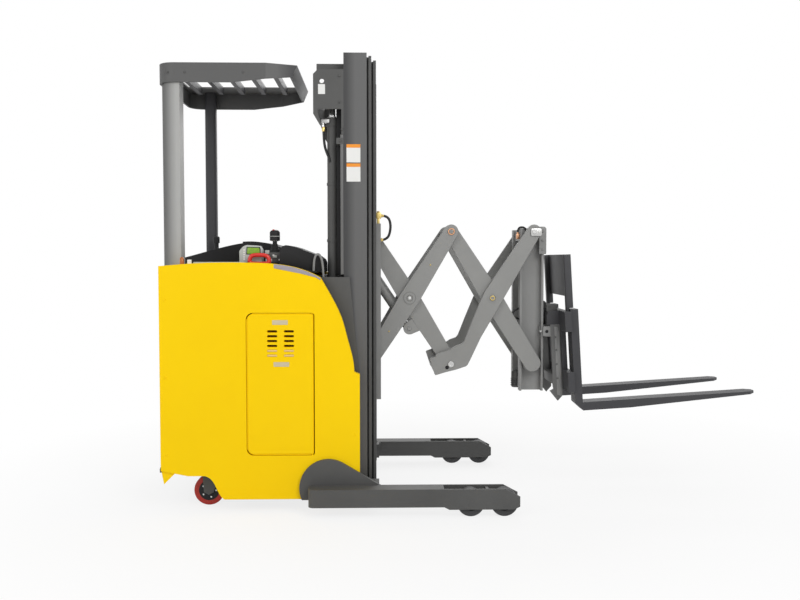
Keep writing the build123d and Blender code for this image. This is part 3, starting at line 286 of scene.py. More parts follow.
def inset(outline, amount):
    """Closed outline moved inward by the same amount along its corners."""
    area = sum(a[0] * b[1] - b[0] * a[1] for a, b in zip(outline, outline[1:] + outline[:1]))
    turn = 1 if area > 0 else -1
    moved = []
    for i, spot in enumerate(outline):
        before = Vector(spot) - Vector(outline[i - 1])
        after = Vector(outline[(i + 1) % len(outline)]) - Vector(spot)
        first = Vector((-before.y, before.x)).normalized() * turn
        second = Vector((-after.y, after.x)).normalized() * turn
        corner = (first + second).normalized()
        reach = amount / max(0.4, corner.dot(first))
        moved.append((spot[0] + corner.x * reach, spot[1] + corner.y * reach))
    return moved


def circle(centre, radius, count=32):
    """Points round a circle, seen from the side."""
    turns = [2 * math.pi * i / count for i in range(count)]
    return [(centre[0] + radius * math.cos(a), centre[1] + radius * math.sin(a)) for a in turns]


def hull(circles):
    """Outline of a band drawn round several circles."""
    points = sorted(spot for centre, radius in circles for spot in circle(centre, radius, 48))

    def chain(spots):
        line = []
        for q in spots:
            while len(line) > 1:
                (ax, az), (bx, bz) = line[-2], line[-1]
                if (bx - ax) * (q[1] - az) - (bz - az) * (q[0] - ax) > 0:
                    break
                line.pop()
            line.append(q)
        return line[:-1]

    return chain(points) + chain(reversed(points))


def add_profile(bm, outline, holes, y, edge=1.5):
    """Plate with round holes and chamfered faces, between two places across the truck."""
    outward = 1 if y[1] > y[0] else -1
    loops = [list(outline)] + [circle(*hole) for hole in holes]
    rims = []
    for face_y, chamfer_y in ((y[0], y[0] + outward * edge), (y[1], y[1] - outward * edge)):
        face_edges = []
        walls = []
        for index, loop in enumerate(loops):
            face_line = inset(loop, edge) if index == 0 else loop
            face_verts = [bm.verts.new(at(a, face_y, b)) for a, b in face_line]
            pairs = zip(face_verts, face_verts[1:] + face_verts[:1])
            face_edges += [bm.edges.new(pair) for pair in pairs]
            if index == 0:
                wall_verts = [bm.verts.new(at(a, chamfer_y, b)) for a, b in loop]
                join_loops(bm, face_verts, wall_verts)
            else:
                wall_verts = face_verts
            walls.append(wall_verts)
        bmesh.ops.triangle_fill(bm, edges=face_edges, use_beauty=True)
        rims.append(walls)
    for near, far in zip(*rims):
        join_loops(bm, near, far)


def join_loops(bm, first, second):
    """Wall of quads between two loops of the same length."""
    count = len(first)
    for i in range(count):
        j = (i + 1) % count
        bm.faces.new((first[i], first[j], second[j], second[i]))


def add_turned(bm, centre, axis, profile, segments=28, closed=False):
    """Shape turned about an axis: the profile's pairs are radius and distance along it, in millimetres."""
    along = Vector(axis).normalized()
    across = along.orthogonal().normalized()
    other = along.cross(across)
    rings = []
    for radius, reach in profile:
        ring = []
        for step in range(segments):
            turn = 2 * math.pi * step / segments
            spoke = across * math.cos(turn) + other * math.sin(turn)
            ring.append(bm.verts.new(at(*centre) + (spoke * radius + along * reach) / 1000))
        rings.append(ring)
    pairs = list(zip(rings, rings[1:]))
    if closed:
        pairs.append((rings[-1], rings[0]))
    for low, high in pairs:
        for i in range(segments):
            j = (i + 1) % segments
            bm.faces.new((low[i], low[j], high[j], high[i]))
    if not closed:
        bm.faces.new(list(reversed(rings[0])))
        bm.faces.new(rings[-1])


def add_bolt(bm, centre, axis, size):
    """Washer and chamfered hexagon head; size is the head's radius."""
    washer = ((size * 1.25, 0), (size * 1.25, size * 0.2), (size * 1.15, size * 0.26))
    add_turned(bm, centre, axis, washer, 20)
    head = ((size, size * 0.24), (size, size * 0.8), (size * 0.82, size * 0.95))
    add_turned(bm, centre, axis, head, 6)


def add_ring(bm, centre, axis, inner, outer, start, depth):
    """Flat ring with softened rims."""
    rim = min(0.8, depth / 4)
    profile = (
        (inner, start),
        (outer, start),
        (outer, start + depth - rim),
        (outer - rim, start + depth),
        (inner + rim, start + depth),
        (inner, start + depth - rim),
    )
    add_turned(bm, centre, axis, profile, 36, closed=True)


def place(name, bm, finish, body, slot, smooth=38):
    """Object from a mesh that rides on a body and takes the given finish; the slot is not used."""
    bmesh.ops.remove_doubles(bm, verts=bm.verts, dist=1e-6)
    bmesh.ops.recalc_face_normals(bm, faces=bm.faces)
    mesh = bpy.data.meshes.new(name)
    bm.to_mesh(mesh)
    bm.free()
    mesh.materials.append(finish)
    mesh.shade_smooth()
    mesh.set_sharp_from_angle(angle=math.radians(smooth))
    obj = bpy.data.objects.new(name, mesh)
    bpy.context.scene.collection.objects.link(obj)
    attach(obj, body)
    return obj


def bolts(name, places, axis, size, finish, body, slot):
    """Several bolts on one body as one piece."""
    bm = bmesh.new()
    for centre in places:
        add_bolt(bm, centre, axis, size)
    return place(name, bm, finish, body, slot)


def tube(name, points, radius, finish, body, closed=False):
    """Round bar or hose along a smooth line."""
    data = bpy.data.curves.new(name, "CURVE")
    data.dimensions = "3D"
    data.bevel_depth = radius / 1000
    data.bevel_resolution = 5
    data.resolution_u = 10
    data.use_fill_caps = True
    line = data.splines.new("NURBS")
    line.points.add(len(points) - 1)
    for point, spot in zip(line.points, points):
        point.co = (*at(*spot), 1)
    line.order_u = 3
    line.use_endpoint_u = not closed
    line.use_cyclic_u = closed
    data.materials.append(finish)
    obj = bpy.data.objects.new(name, data)
    bpy.context.scene.collection.objects.link(obj)
    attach(obj, body)
    return obj


# Pivots of the pantograph, from the same sizes as the part
ARM_REACH = 430
ARM_ANGLE = math.radians(58)
STEP_X = ARM_REACH * math.cos(ARM_ANGLE)
STEP_Z = ARM_REACH * math.sin(ARM_ANGLE)
PIVOT = (-60, 1459)
CROSS_REAR = (PIVOT[0] + STEP_X, PIVOT[1] - STEP_Z)
APEX = (PIVOT[0] + 2 * STEP_X, PIVOT[1])
LOW_MID = (PIVOT[0] + 2 * STEP_X, PIVOT[1] - 2 * STEP_Z)
CROSS_FRONT = (PIVOT[0] + 3 * STEP_X, PIVOT[1] - STEP_Z)
FRONT_PIN = (PIVOT[0] + 4 * STEP_X, PIVOT[1])
REAR_ROLLER = (PIVOT[0], PIVOT[1] - 2 * STEP_Z)
FRONT_ROLLER = (PIVOT[0] + 4 * STEP_X, PIVOT[1] - 2 * STEP_Z)
LUG = (168.2, 925.9)
LUG_ROOT = (243.6, 973.1)
ARM_FACE = 207
ARM_BACK = 185
INNER_FACE = 179
INNER_BACK = 157
PIN_FACE = 210
PIN_RADIUS = 16
PIN_HOLE = 16.5
TUBE_RADIUS = 28
END_RADIUS = 39
MIDDLE_RADIUS = 55


def foot_outline():
    """Fourth arm: straight upper half and a cranked foot with a heel, seen from the side."""
    lean = math.asin((MIDDLE_RADIUS - END_RADIUS) / ARM_REACH)
    right = ARM_ANGLE - math.pi / 2 + lean
    left = ARM_ANGLE + math.pi / 2 - lean
    outline = [on_circle(CROSS_FRONT, MIDDLE_RADIUS, right)]
    steps = 28
    for i in range(steps + 1):
        outline.append(on_circle(FRONT_PIN, END_RADIUS, right + (left - right) * i / steps))
    outline.append(on_circle(CROSS_FRONT, MIDDLE_RADIUS, left))
    heel = (
        (116, 235), (74, 128), (62, 113), (25, 100), (1, 84), (-27, 74), (-76, 60), (-82, 54), (-84, 43), (-113, 33),
        (-117, 27), (-90, -55), (-84, -61), (-28, -44), (26, -31), (84, -12), (92, -4), (104, 18), (165, 148), (222, 245),
    )
    return outline + [(LOW_MID[0] + dx, LOW_MID[1] + dz) for dx, dz in heel]


def on_circle(centre, radius, angle):
    return (centre[0] + radius * math.cos(angle), centre[1] + radius * math.sin(angle))


def cross_bar(bm, spot, radius, reach):
    """Round tube across the truck between the two arms of a pair."""
    chamfer = 1.5
    profile = ((radius - chamfer, 0), (radius, chamfer), (radius, 2 * reach - chamfer), (radius - chamfer, 2 * reach))
    add_turned(bm, (spot[0], -reach, spot[1]), (0, 1, 0), profile, 40)


def pin(bm, spot, sign, start, end, radius=PIN_RADIUS):
    """Pin from one place across the truck out to another."""
    length = end - start
    profile = ((radius, 0), (radius, length - 1.5), (radius - 1.5, length))
    add_turned(bm, (spot[0], sign * start, spot[1]), (0, sign, 0), profile, 32)


def arms():
    """The four pairs of pantograph arms, tapered to their ends, with pins, rollers and cross tubes."""
    tapered = (END_RADIUS, MIDDLE_RADIUS, END_RADIUS)
    bm = bmesh.new()
    for sign in (-1, 1):
        band = hull(tuple(zip((PIVOT, CROSS_REAR, LOW_MID), tapered)))
        add_profile(bm, band, ((PIVOT, PIN_HOLE),), (sign * INNER_BACK, sign * INNER_FACE))
        ear = hull(((LUG, 34), (LUG_ROOT, 48)))
        add_profile(bm, ear, (), (sign * (INNER_BACK + 1), sign * (INNER_FACE - 1)))
        for spot in (CROSS_REAR, LOW_MID):
            pin(bm, spot, sign, INNER_BACK - 6, PIN_FACE)
        pin(bm, LUG, sign, 101, INNER_FACE + 4, 12)
    cross_bar(bm, CROSS_REAR, TUBE_RADIUS, INNER_BACK + 2)
    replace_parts(place("arm_pair_first", bm, ARM, "arms_first", "arm_paint"), "arms_first")
    bm = bmesh.new()
    for sign in (-1, 1):
        band = hull(tuple(zip((REAR_ROLLER, CROSS_REAR, APEX), tapered)))
        add_profile(bm, band, ((CROSS_REAR, PIN_HOLE), (APEX, PIN_HOLE)), (sign * ARM_BACK, sign * ARM_FACE))
        pin(bm, REAR_ROLLER, sign, ARM_FACE - 2, 215)
        pin(bm, REAR_ROLLER, sign, 213, 247, 57.5)
    cross_bar(bm, REAR_ROLLER, TUBE_RADIUS, ARM_BACK + 2)
    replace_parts(place("arm_pair_second", bm, ARM, "arms_second", "arm_paint"), "arms_second")
    bm = bmesh.new()
    for sign in (-1, 1):
        band = hull(((APEX, END_RADIUS), (CROSS_FRONT, MIDDLE_RADIUS), (FRONT_ROLLER, 46)))
        add_profile(bm, band, (), (sign * INNER_BACK, sign * INNER_FACE))
        for spot in (APEX, CROSS_FRONT):
            pin(bm, spot, sign, INNER_BACK - 6, PIN_FACE)
        pin(bm, FRONT_ROLLER, sign, 115, 150, 50.5)
        pin(bm, FRONT_ROLLER, sign, 148, INNER_BACK + 2)
    cross_bar(bm, APEX, TUBE_RADIUS, INNER_BACK + 2)
    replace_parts(place("arm_pair_third", bm, ARM, "arms_third", "arm_paint"), "arms_third")
    bm = bmesh.new()
    for sign in (-1, 1):
        holes = [(spot, PIN_HOLE) for spot in (LOW_MID, CROSS_FRONT, FRONT_PIN)]
        add_profile(bm, foot_outline(), holes, (sign * ARM_BACK, sign * ARM_FACE))
    box = [(LOW_MID[0] + dx, LOW_MID[1] + dz) for dx, dz in ((-100, -17), (-87, -58), (-33, -42))]
    add_plate(bm, box, (-ARM_BACK - 2, ARM_BACK + 2), 3)
    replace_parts(place("arm_pair_fourth", bm, ARM, "arms_fourth", "arm_paint"), "arms_fourth")


def pantograph():
    """Rings, caps and keepers on the arm pivots."""
    for hand, sign in HANDS:
        out = (0, sign, 0)
        arm = sign * ARM_FACE
        pin = sign * PIN_FACE
        bm = bmesh.new()
        add_ring(bm, (CROSS_REAR[0], arm, CROSS_REAR[1]), out, 17, 32, 0, 3)
        add_ring(bm, (CROSS_REAR[0], arm, CROSS_REAR[1]), out, 33, 35, 0, 1.5)
        place("cross_boss_" + hand, bm, ARM, "arms_second", "arm_paint")
        bm = bmesh.new()
        add_turned(bm, (CROSS_REAR[0], pin, CROSS_REAR[1]), out, ((8, 0), (8, 0.8), (7, 1.4), (3, 1.4), (2, 1)))
        add_turned(bm, (LOW_MID[0], pin, LOW_MID[1]), out, ((17, 0), (17, 3), (15.5, 4.5), (7, 4.5), (6, 3)))
        place("pin_caps_" + hand, bm, ZINC, "arms_first", "chrome_rod")
        bm = bmesh.new()
        add_ring(bm, (APEX[0], pin, APEX[1]), out, 12, 19, 0, 3)
        place("apex_ring_" + hand, bm, COPPER, "arms_third", "chrome_rod")
        bm = bmesh.new()
        add_turned(bm, (APEX[0], pin, APEX[1]), out, ((11.5, 0), (11.5, 4), (10, 5), (4, 5), (3, 3.5)))
        place("apex_cap_" + hand, bm, ARM, "arms_third", "arm_paint")
        bm = bmesh.new()
        add_ring(bm, (CROSS_FRONT[0], pin, CROSS_FRONT[1]), out, 9, 13.5, 0, 3)
        place("cross_ring_" + hand, bm, BRASS, "arms_third", "chrome_rod")
        bm = bmesh.new()
        add_ring(bm, (CROSS_FRONT[0], arm, CROSS_FRONT[1]), out, 18, 27, 0, 2)
        place("cross_washer_" + hand, bm, ARM, "arms_fourth", "arm_paint")
        keeper = ((833, 1440), (838, 1435), (886, 1435), (892, 1441), (892, 1470), (886, 1476), (838, 1476), (833, 1471))
        bm = bmesh.new()
        add_plate(bm, keeper, (pin, pin + sign * 6))
        add_turned(bm, (FRONT_PIN[0], pin, FRONT_PIN[1]), out, ((13, 5), (13, 8), (11.5, 9.5), (4, 9.5), (3, 8)))
        place("front_keeper_" + hand, bm, ZINC, "front_frame", "chrome_rod")
        bolts("keeper_bolt_" + hand, [(878, pin + sign * 6, 1457)], out, 6, STEEL, "front_frame", "chrome_rod")
        bolts("foot_bolt_" + hand, [(374, arm, 712)], out, 8, BLACK, "arms_fourth", "dark_paint")
        nipples = bmesh.new()
        for along in (0.5, 1.5):
            spot = (PIVOT[0] + along * STEP_X, arm, PIVOT[1] - 2 * STEP_Z + along * STEP_Z)
            add_turned(nipples, spot, out, ((4, 0), (4, 2), (2.2, 3), (2.6, 5), (1.4, 7)), 12)
        place("grease_points_" + hand, nipples, BRASS, "arms_second", "chrome_rod")


TILT_PIVOT = (919.46, 912)
TILT = math.radians(3.5)


def leaned(u, w):
    """Side place in the frame of the tilt pivot, which leans back with the forks."""
    x = TILT_PIVOT[0] + u * math.cos(TILT) - w * math.sin(TILT)
    return (x, TILT_PIVOT[1] + u * math.sin(TILT) + w * math.cos(TILT))


def front_frame_details():
    """Valve, head brackets, pins, hoses and lugs at the fork end."""
    bm = bmesh.new()
    body = [(24, 0), (28, 4)]
    for low in (8, 20, 32, 44):
        body += [(28, low), (31.5, low + 1.5), (31.5, low + 6.5), (28, low + 8)]
    body += [(28, 88), (25, 92), (20, 93), (20, 100), (17, 102)]
    add_turned(bm, (789.5, 0, 573), (0, 0, 1), body, 40)
    place("lower_valve", bm, DARK, "front_frame", "dark_paint")
    for hand, sign in HANDS:
        out = (0, sign, 0)
        bracket = ((887, 1340), (891, 1336), (923, 1336), (927, 1340), (927, 1478), (917, 1488), (887, 1488))
        bm = bmesh.new()
        add_plate(bm, bracket, (sign * 146, sign * 165), 2)
        place("head_bracket_" + hand, bm, LIGHT, "front_frame", "light_paint")
        bracket_bolts = [(907, sign * 165, z) for z in (1362, 1412, 1462)]
        bolts("bracket_bolts_" + hand, bracket_bolts, out, 6, LIGHT, "front_frame", "light_paint")
        caps = bmesh.new()
        add_turned(caps, (TILT_PIVOT[0], sign * 150, TILT_PIVOT[1]), out, ((13, 0), (13, 2), (11, 4), (4, 4), (3, 3)))
        place("tilt_pin_cap_" + hand, caps, ZINC, "front_frame", "chrome_rod")
        lug = ((910, 886), (916, 880), (956, 878), (956, 936), (916, 934), (910, 928))
        bm = bmesh.new()
        add_plate(bm, lug, (sign * 160, sign * 176))
        place("tilt_lug_" + hand, bm, LIGHT, "tilt_frame", "light_paint")
        bm = bmesh.new()
        add_turned(bm, (931, sign * 176, 907), out, ((9, -1), (9, 1), (8, 1.6), (4, 1.6), (3, 1)))
        place("tilt_lug_pin_" + hand, bm, BLACK, "tilt_frame", "dark_paint")
        bm = bmesh.new()
        add_turned(bm, (899, sign * 144, 907), out, ((6, 0), (6, 20), (5, 22)), 20)
        place("tilt_stop_" + hand, bm, ZINC, "tilt_frame", "chrome_rod")
        strip = ((903, 580), (914.5, 580), (914.5, 1332), (903, 1332))
        bm = bmesh.new()
        add_plate(bm, strip, (sign * 151.5, sign * 153.5), 0.6)
        place("rail_strip_" + hand, bm, LIGHT, "front_frame", "light_paint")
        plate = ((931, 1018), (990, 1018), (990, 1050), (978, 1062), (938, 1062), (931, 1054))
        bm = bmesh.new()
        add_plate(bm, plate, (sign * 150, sign * 168))
        add_turned(bm, (947, sign * 168, 1050), out, ((9, 0), (9, 5), (7, 6)), 20)
        place("shift_bracket_" + hand, bm, DARK, "fork_carriage", "dark_paint")
        cheek_bolts = [(*leaned(56, w)[:1], sign * 178, leaned(56, w)[1]) for w in (-270, -190, -110, -40)]
        bolts("cheek_bolts_" + hand, cheek_bolts, out, 6, MIDDLE, "tilt_frame", "dark_paint")
        face = [leaned(u, w) for u, w in ((50, -362), (78, -372), (79, -20), (74, 18), (54, 18))]
        bm = bmesh.new()
        add_plate(bm, face, (sign * 177.5, sign * 180), 0.8)
        place("cheek_face_" + hand, bm, LIGHT, "tilt_frame", "light_paint")
    bm = bmesh.new()
    post = [leaned(u, w) for u, w in ((104, 108), (118, 108), (118, 125), (141, 125), (141, 415), (104, 415))]
    for sign in (-1, 1):
        add_plate(bm, post, (sign * 290, sign * 252), 1.5)
    sheet = [leaned(u, w) for u, w in ((129, 183), (140.5, 183), (140.5, 415), (129, 415))]
    add_plate(bm, sheet, (-289, 289), 1.5)
    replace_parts(place("backrest", bm, FORK_PAINT_AND_SHADE, "fork_carriage", "dark_paint"), "load_backrest")
    bm = bmesh.new()
    add_block(bm, (766, 784), (-126, -110), (1420, 1448))
    add_turned(bm, (775, -118, 1448), (0, 0, 1), ((7, 0), (7, 8), (6, 10)), 6)
    place("port_block", bm, COPPER, "front_frame", "chrome_rod")
    line = ((775, -118, 1454), (775, -118, 1474), (786, -118, 1487), (808, -118, 1487), (826, -116, 1472), (842, -105, 1456))
    tube("port_hose", line, 5, RUBBER, "front_frame")
    stub = ((802, -105, 1036), (774, -116, 1031), (746, -118, 1010), (750, -118, 986), (778, -116, 974), (802, -105, 972))
    tube("side_hose", stub, 6, RUBBER, "front_frame")


def carriage_details():
    """Fittings of the hose loop and bolts on the carriage ties."""
    bm = bmesh.new()
    add_turned(bm, (12, -231, 1543), (1, 0, 0), ((9, 0), (9, 7), (7, 8), (7, 14), (6.5, 16)), 6)
    add_turned(bm, (10, -231, 1413), (1, 0, 0), ((10, 0), (10, 6), (8, 7), (8, 12), (7, 14)), 6)
    place("loop_fittings", bm, BRASS, "reach_carriage", "chrome_rod")
    loop = ((26, 1543), (50, 1538), (64, 1500), (60, 1452), (46, 1420), (22, 1413))
    tube("carriage_hose", [(x, -231, z) for x, z in loop], 7, RUBBER, "reach_carriage")
    bm = bmesh.new()
    add_block(bm, (-20, 12), (-246, -216), (1528, 1560), 2)
    add_block(bm, (-12, 4), (-240, -222), (1498, 1530), 1)
    add_turned(bm, (-4, -231, 1560), (0, 0, 1), ((9, 0), (9, 6), (7, 8)), 6)
    place("loop_block", bm, BRASS, "reach_carriage", "chrome_rod")
    ties = [(-116, y, z) for z in (566, 1030, 1440) for y in (-150, -60, 60, 150)]
    bolts("tie_bolts", ties, (1, 0, 0), 8, ZINC, "reach_carriage", "chrome_rod")


def mast():
    """Lifting-plate label, rail labels, clamps, bolts and the lift cylinder's hose."""
    face = -421
    bm = bmesh.new()
    add_plate(bm, ((-314, 2161), (-278, 2161), (-278, 2212), (-314, 2212)), (face, face - 0.8), 0)
    place("plate_label", bm, PALE, "chassis", "bezel_plastic")
    for name, low in (("upper", 1810), ("lower", 1711)):
        bm = bmesh.new()
        add_plate(bm, ((-168, low), (-96, low), (-96, low + 94), (-168, low + 94)), (face, face - 0.7), 0)
        place("rail_label_" + name, bm, PALE, "chassis", "bezel_plastic")
        bm = bmesh.new()
        add_plate(bm, ((-168, low + 76), (-96, low + 76), (-96, low + 94), (-168, low + 94)), (face - 0.7, face - 1.1), 0)
        place("rail_label_band_" + name, bm, ORANGE, "chassis", "bezel_plastic")
    for hand, sign in HANDS:
        out = (0, sign, 0)
        head_bolts = [(x, sign * 421, z) for x, z in ((-205, 2255), (-205, 2120), (-190, 1980))]
        bolts("head_bolts_" + hand, head_bolts, out, 6, DARK, "chassis", "dark_paint")
        clamp_bolts = [(-200, sign * 421, z) for z in (1166, 1921)]
        bolts("clamp_bolts_" + hand, clamp_bolts, out, 6, DARK, "chassis", "dark_paint")
        bm = bmesh.new()
        add_block(bm, (-222, -184), (sign * 345, sign * 341), (1225, 2104), 1)
        place("rail_backing_" + hand, bm, BLACK, "chassis", "dark_paint")
        bm = bmesh.new()
        add_block(bm, (-200, -184), (sign * 420, sign * 345), (1228, 1954), 1.5)
        place("rail_lip_" + hand, bm, MIDDLE, "chassis", "dark_paint")
        bm = bmesh.new()
        for height in (420, 700, 1400, 1700):
            add_ring(bm, (-246, sign * 300, height), (0, 0, 1), 28, 32, 0, 14)
        place("barrel_bands_" + hand, bm, DARK, "chassis", "dark_paint")
        bm = bmesh.new()
        add_ring(bm, (-246, sign * 300, 2057), (0, 0, 1), 20, 27, 0, 5)
        place("gland_seal_" + hand, bm, ZINC, "chassis", "chrome_rod")
        bm = bmesh.new()
        add_turned(bm, (-292, sign * 326, 2006), (0, 0, 1), ((10, 0), (10, 12), (8, 14), (8, 22)), 6)
        add_block(bm, (-302, -262), (sign * 326 - 12, sign * 326 + 12), (2026, 2046), 2)
        place("lift_port_" + hand, bm, ZINC, "chassis", "chrome_rod")
        bm = bmesh.new()
        add_turned(bm, (-292, sign * 326, 1982), (0, 0, 1), ((8, 0), (9, 4), (9, 22), (7, 26)), 16)
        place("lift_fitting_" + hand, bm, BRASS, "chassis", "chrome_rod")
        path = ((-292, 1984), (-291, 1950), (-287, 1905), (-275, 1868), (-262, 1842), (-258, 1822))
        tube("lift_hose_" + hand, [(x, sign * 325, z) for x, z in path], 7, RUBBER, "chassis")


def panel_edge(rear, front, steps=14):
    """Places just below the top edge of the side panels, read from the panel's own solid."""
    panel = NODES["side_panel_right"]
    line = []
    for i in range(steps + 1):
        x = rear + (front - rear) * i / steps
        start = at(x, -508, 2500)
        hit, spot, _, _ = panel.ray_cast(start, Vector((0, 0, -1)))
        if hit:
            line.append((x, spot.z * 1000 - 1.5))
    return line


def console():
    """Display, controls, handle and trims around the operator's deck."""
    housing = ((-734, 1283), (-734, 1352), (-714, 1376), (-694, 1383), (-630, 1379), (-616, 1356), (-614, 1277))
    bm = bmesh.new()
    add_plate(bm, housing, (-384, -282), 7)
    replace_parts(place("display", bm, BEZEL, "chassis", "bezel_plastic"), "display_housing")
    bm = bmesh.new()
    add_plate(bm, ((-697, 1333), (-620, 1331), (-622, 1371), (-694, 1373)), (-383.5, -385.5), 0.6)
    place("display_rim", bm, BLACK, "chassis", "cowl_plastic")
    bm = bmesh.new()
    add_plate(bm, ((-692, 1337), (-625, 1335), (-627, 1367), (-689, 1369)), (-385, -386.5), 0.4)
    place("display_screen", bm, SCREEN, "chassis", "bezel_plastic")
    keys = bmesh.new()
    for step in range(5):
        add_block(keys, (-712, -703), (-385.5, -383), (1304 + 12 * step, 1312 + 12 * step), 0.6)
    place("display_keys", keys, PALE, "chassis", "bezel_plastic")
    grip = ((-678, 1286), (-672, 1318), (-660, 1328), (-625, 1331), (-590, 1328), (-577, 1318), (-569, 1286), (-625, 1284))
    loop = tube("grip_loop", [(x, -412, z) for x, z in grip], 11, RED, "chassis", closed=True)
    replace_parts(loop, "grab_handle")
    bm = bmesh.new()
    add_block(bm, (-690, -556), (-426, -398), (1268, 1284), 4)
    place("grip_base", bm, RED, "chassis", "red_plastic")
    boot = bmesh.new()
    rings = []
    for step in range(6):
        rings += [(31 - 2.6 * step, 10 * step), (26 - 2.6 * step, 10 * step + 5)]
    add_turned(boot, (-556, -300, 1335), (0, 0, 1), rings, 32)
    place("stick_boot", boot, RUBBER, "chassis", "mat_rubber")
    bm = bmesh.new()
    add_ring(bm, (-556, -300, 1428), (0, 0, 1), 26, 28.5, 0, 3)
    add_ring(bm, (-556, -300, 1404), (0, 0, 1), 12, 20, 0, 6)
    place("stick_rings", bm, BEZEL, "chassis", "bezel_plastic")
    bm = bmesh.new()
    add_turned(bm, (-562, -308, 1461), (0, 0, 1), ((6, 0), (6, 4), (4, 6)), 18)
    place("stick_button_red", bm, RED, "chassis", "red_plastic")
    bm = bmesh.new()
    add_turned(bm, (-546, -308, 1461), (0, 0, 1), ((5, 0), (5, 3.5), (3.5, 5)), 18)
    place("stick_button_pale", bm, PALE, "chassis", "bezel_plastic")
    bm = bmesh.new()
    add_plate(bm, ((-602, 1288), (-602, 1336), (-588, 1344), (-524, 1344), (-514, 1334), (-514, 1290)), (-340, -344), 1.5)
    place("stick_bracket", bm, DARK, "chassis", "dark_paint")
    bm = bmesh.new()
    add_block(bm, (-602, -580), (-352, -340), (1336, 1356), 2)
    add_block(bm, (-600, -566), (-350, -342), (1296, 1310), 2)
    add_block(bm, (-562, -540), (-350, -342), (1316, 1328), 2)
    place("stick_clamps", bm, BEZEL, "chassis", "bezel_plastic")
    hood = (
        (-524, 1258), (-520, 1352), (-508, 1376), (-488, 1382), (-462, 1378), (-422, 1367), (-369, 1346), (-319, 1326),
        (-296, 1309), (-288, 1292), (-287, 1238),
    )
    bm = bmesh.new()
    add_plate(bm, hood, (-396, -96), 4)
    place("console_hood", bm, BLACK, "chassis", "cowl_plastic")
    bolts("stick_bolts", [(-590, -344, 1304), (-526, -344, 1304), (-558, -344, 1328)], (0, -1, 0), 4.5, STEEL, "chassis", "chrome_rod")
    switches = bmesh.new()
    for step in range(3):
        add_block(switches, (-500 + 26 * step, -484 + 26 * step), (-388, -366), (1262 - 2 * step, 1276 - 3 * step), 2)
    place("deck_switches", switches, RUBBER, "chassis", "mat_rubber")
    for name, y in (("right", -470), ("left", 470)):
        sign = 1 if y > 0 else -1
        bm = bmesh.new()
        low = [(-538, 1262), (-466, 1248), (-393, 1233), (-324, 1215), (-299, 1200)]
        add_plate(bm, panel_edge(low[0][0], low[-1][0]) + list(reversed(low)), (sign * 509.5, sign * 511.5), 0.4)
        place("deck_trim_front_" + name, bm, TRIM, "chassis", "bezel_plastic")
        bm = bmesh.new()
        add_block(bm, (-956, -694), (y - sign * 2, y - sign * 14), (1282, 1294), 1.5)
        place("deck_trim_rear_" + name, bm, BEZEL, "chassis", "bezel_plastic")
    arch = ((-341, 1240), (-341, 1290), (-330, 1334), (-308, 1334), (-294, 1290), (-290, 1214), (-288, 1168))
    tube("cable_arch", [(x, -421, z) for x, z in arch], 6, LIGHT, "chassis")
    bm = bmesh.new()
    add_block(bm, (-300, -276), (-470, -412), (1156, 1180), 2)
    place("arch_clip", bm, BLACK, "chassis", "dark_paint")
    bm = bmesh.new()
    add_turned(bm, (-1011, -478, 1272), (0, 0, 1), ((13, 0), (13, 12), (11, 14), (11, 38), (7, 45), (3, 48)), 24)
    place("panel_lamp", bm, AMBER, "chassis", "red_plastic")
    bm = bmesh.new()
    add_block(bm, (-983, -962), (-486, -472), (1272, 1306), 3)
    place("panel_catch", bm, PALE, "chassis", "bezel_plastic")


def steering():
    """Ribbed edge, hub and knob cap of the steering disc."""
    centre = (-900, 265)
    grips = bmesh.new()
    for step in range(24):
        turn = 2 * math.pi * step / 24
        spot = (centre[0] + 84 * math.cos(turn), centre[1] + 84 * math.sin(turn), 1368)
        add_turned(grips, spot, (0, 0, 1), ((3.2, -0.5), (3.2, 0.6), (2, 1.4)), 10)
    add_ring(grips, (*centre, 1368), (0, 0, 1), 28, 34, 0, 2)
    add_turned(grips, (*centre, 1368), (0, 0, 1), ((24, 0), (24, 3), (20, 5), (8, 5), (7, 4)), 32)
    place("disc_grips", grips, RUBBER, "steering_disc", "mat_rubber")
    bm = bmesh.new()
    add_ring(bm, (-971, 265, 1408), (0, 0, 1), 12, 16, 0, 3)
    place("knob_collar", bm, BEZEL, "steering_disc", "bezel_plastic")


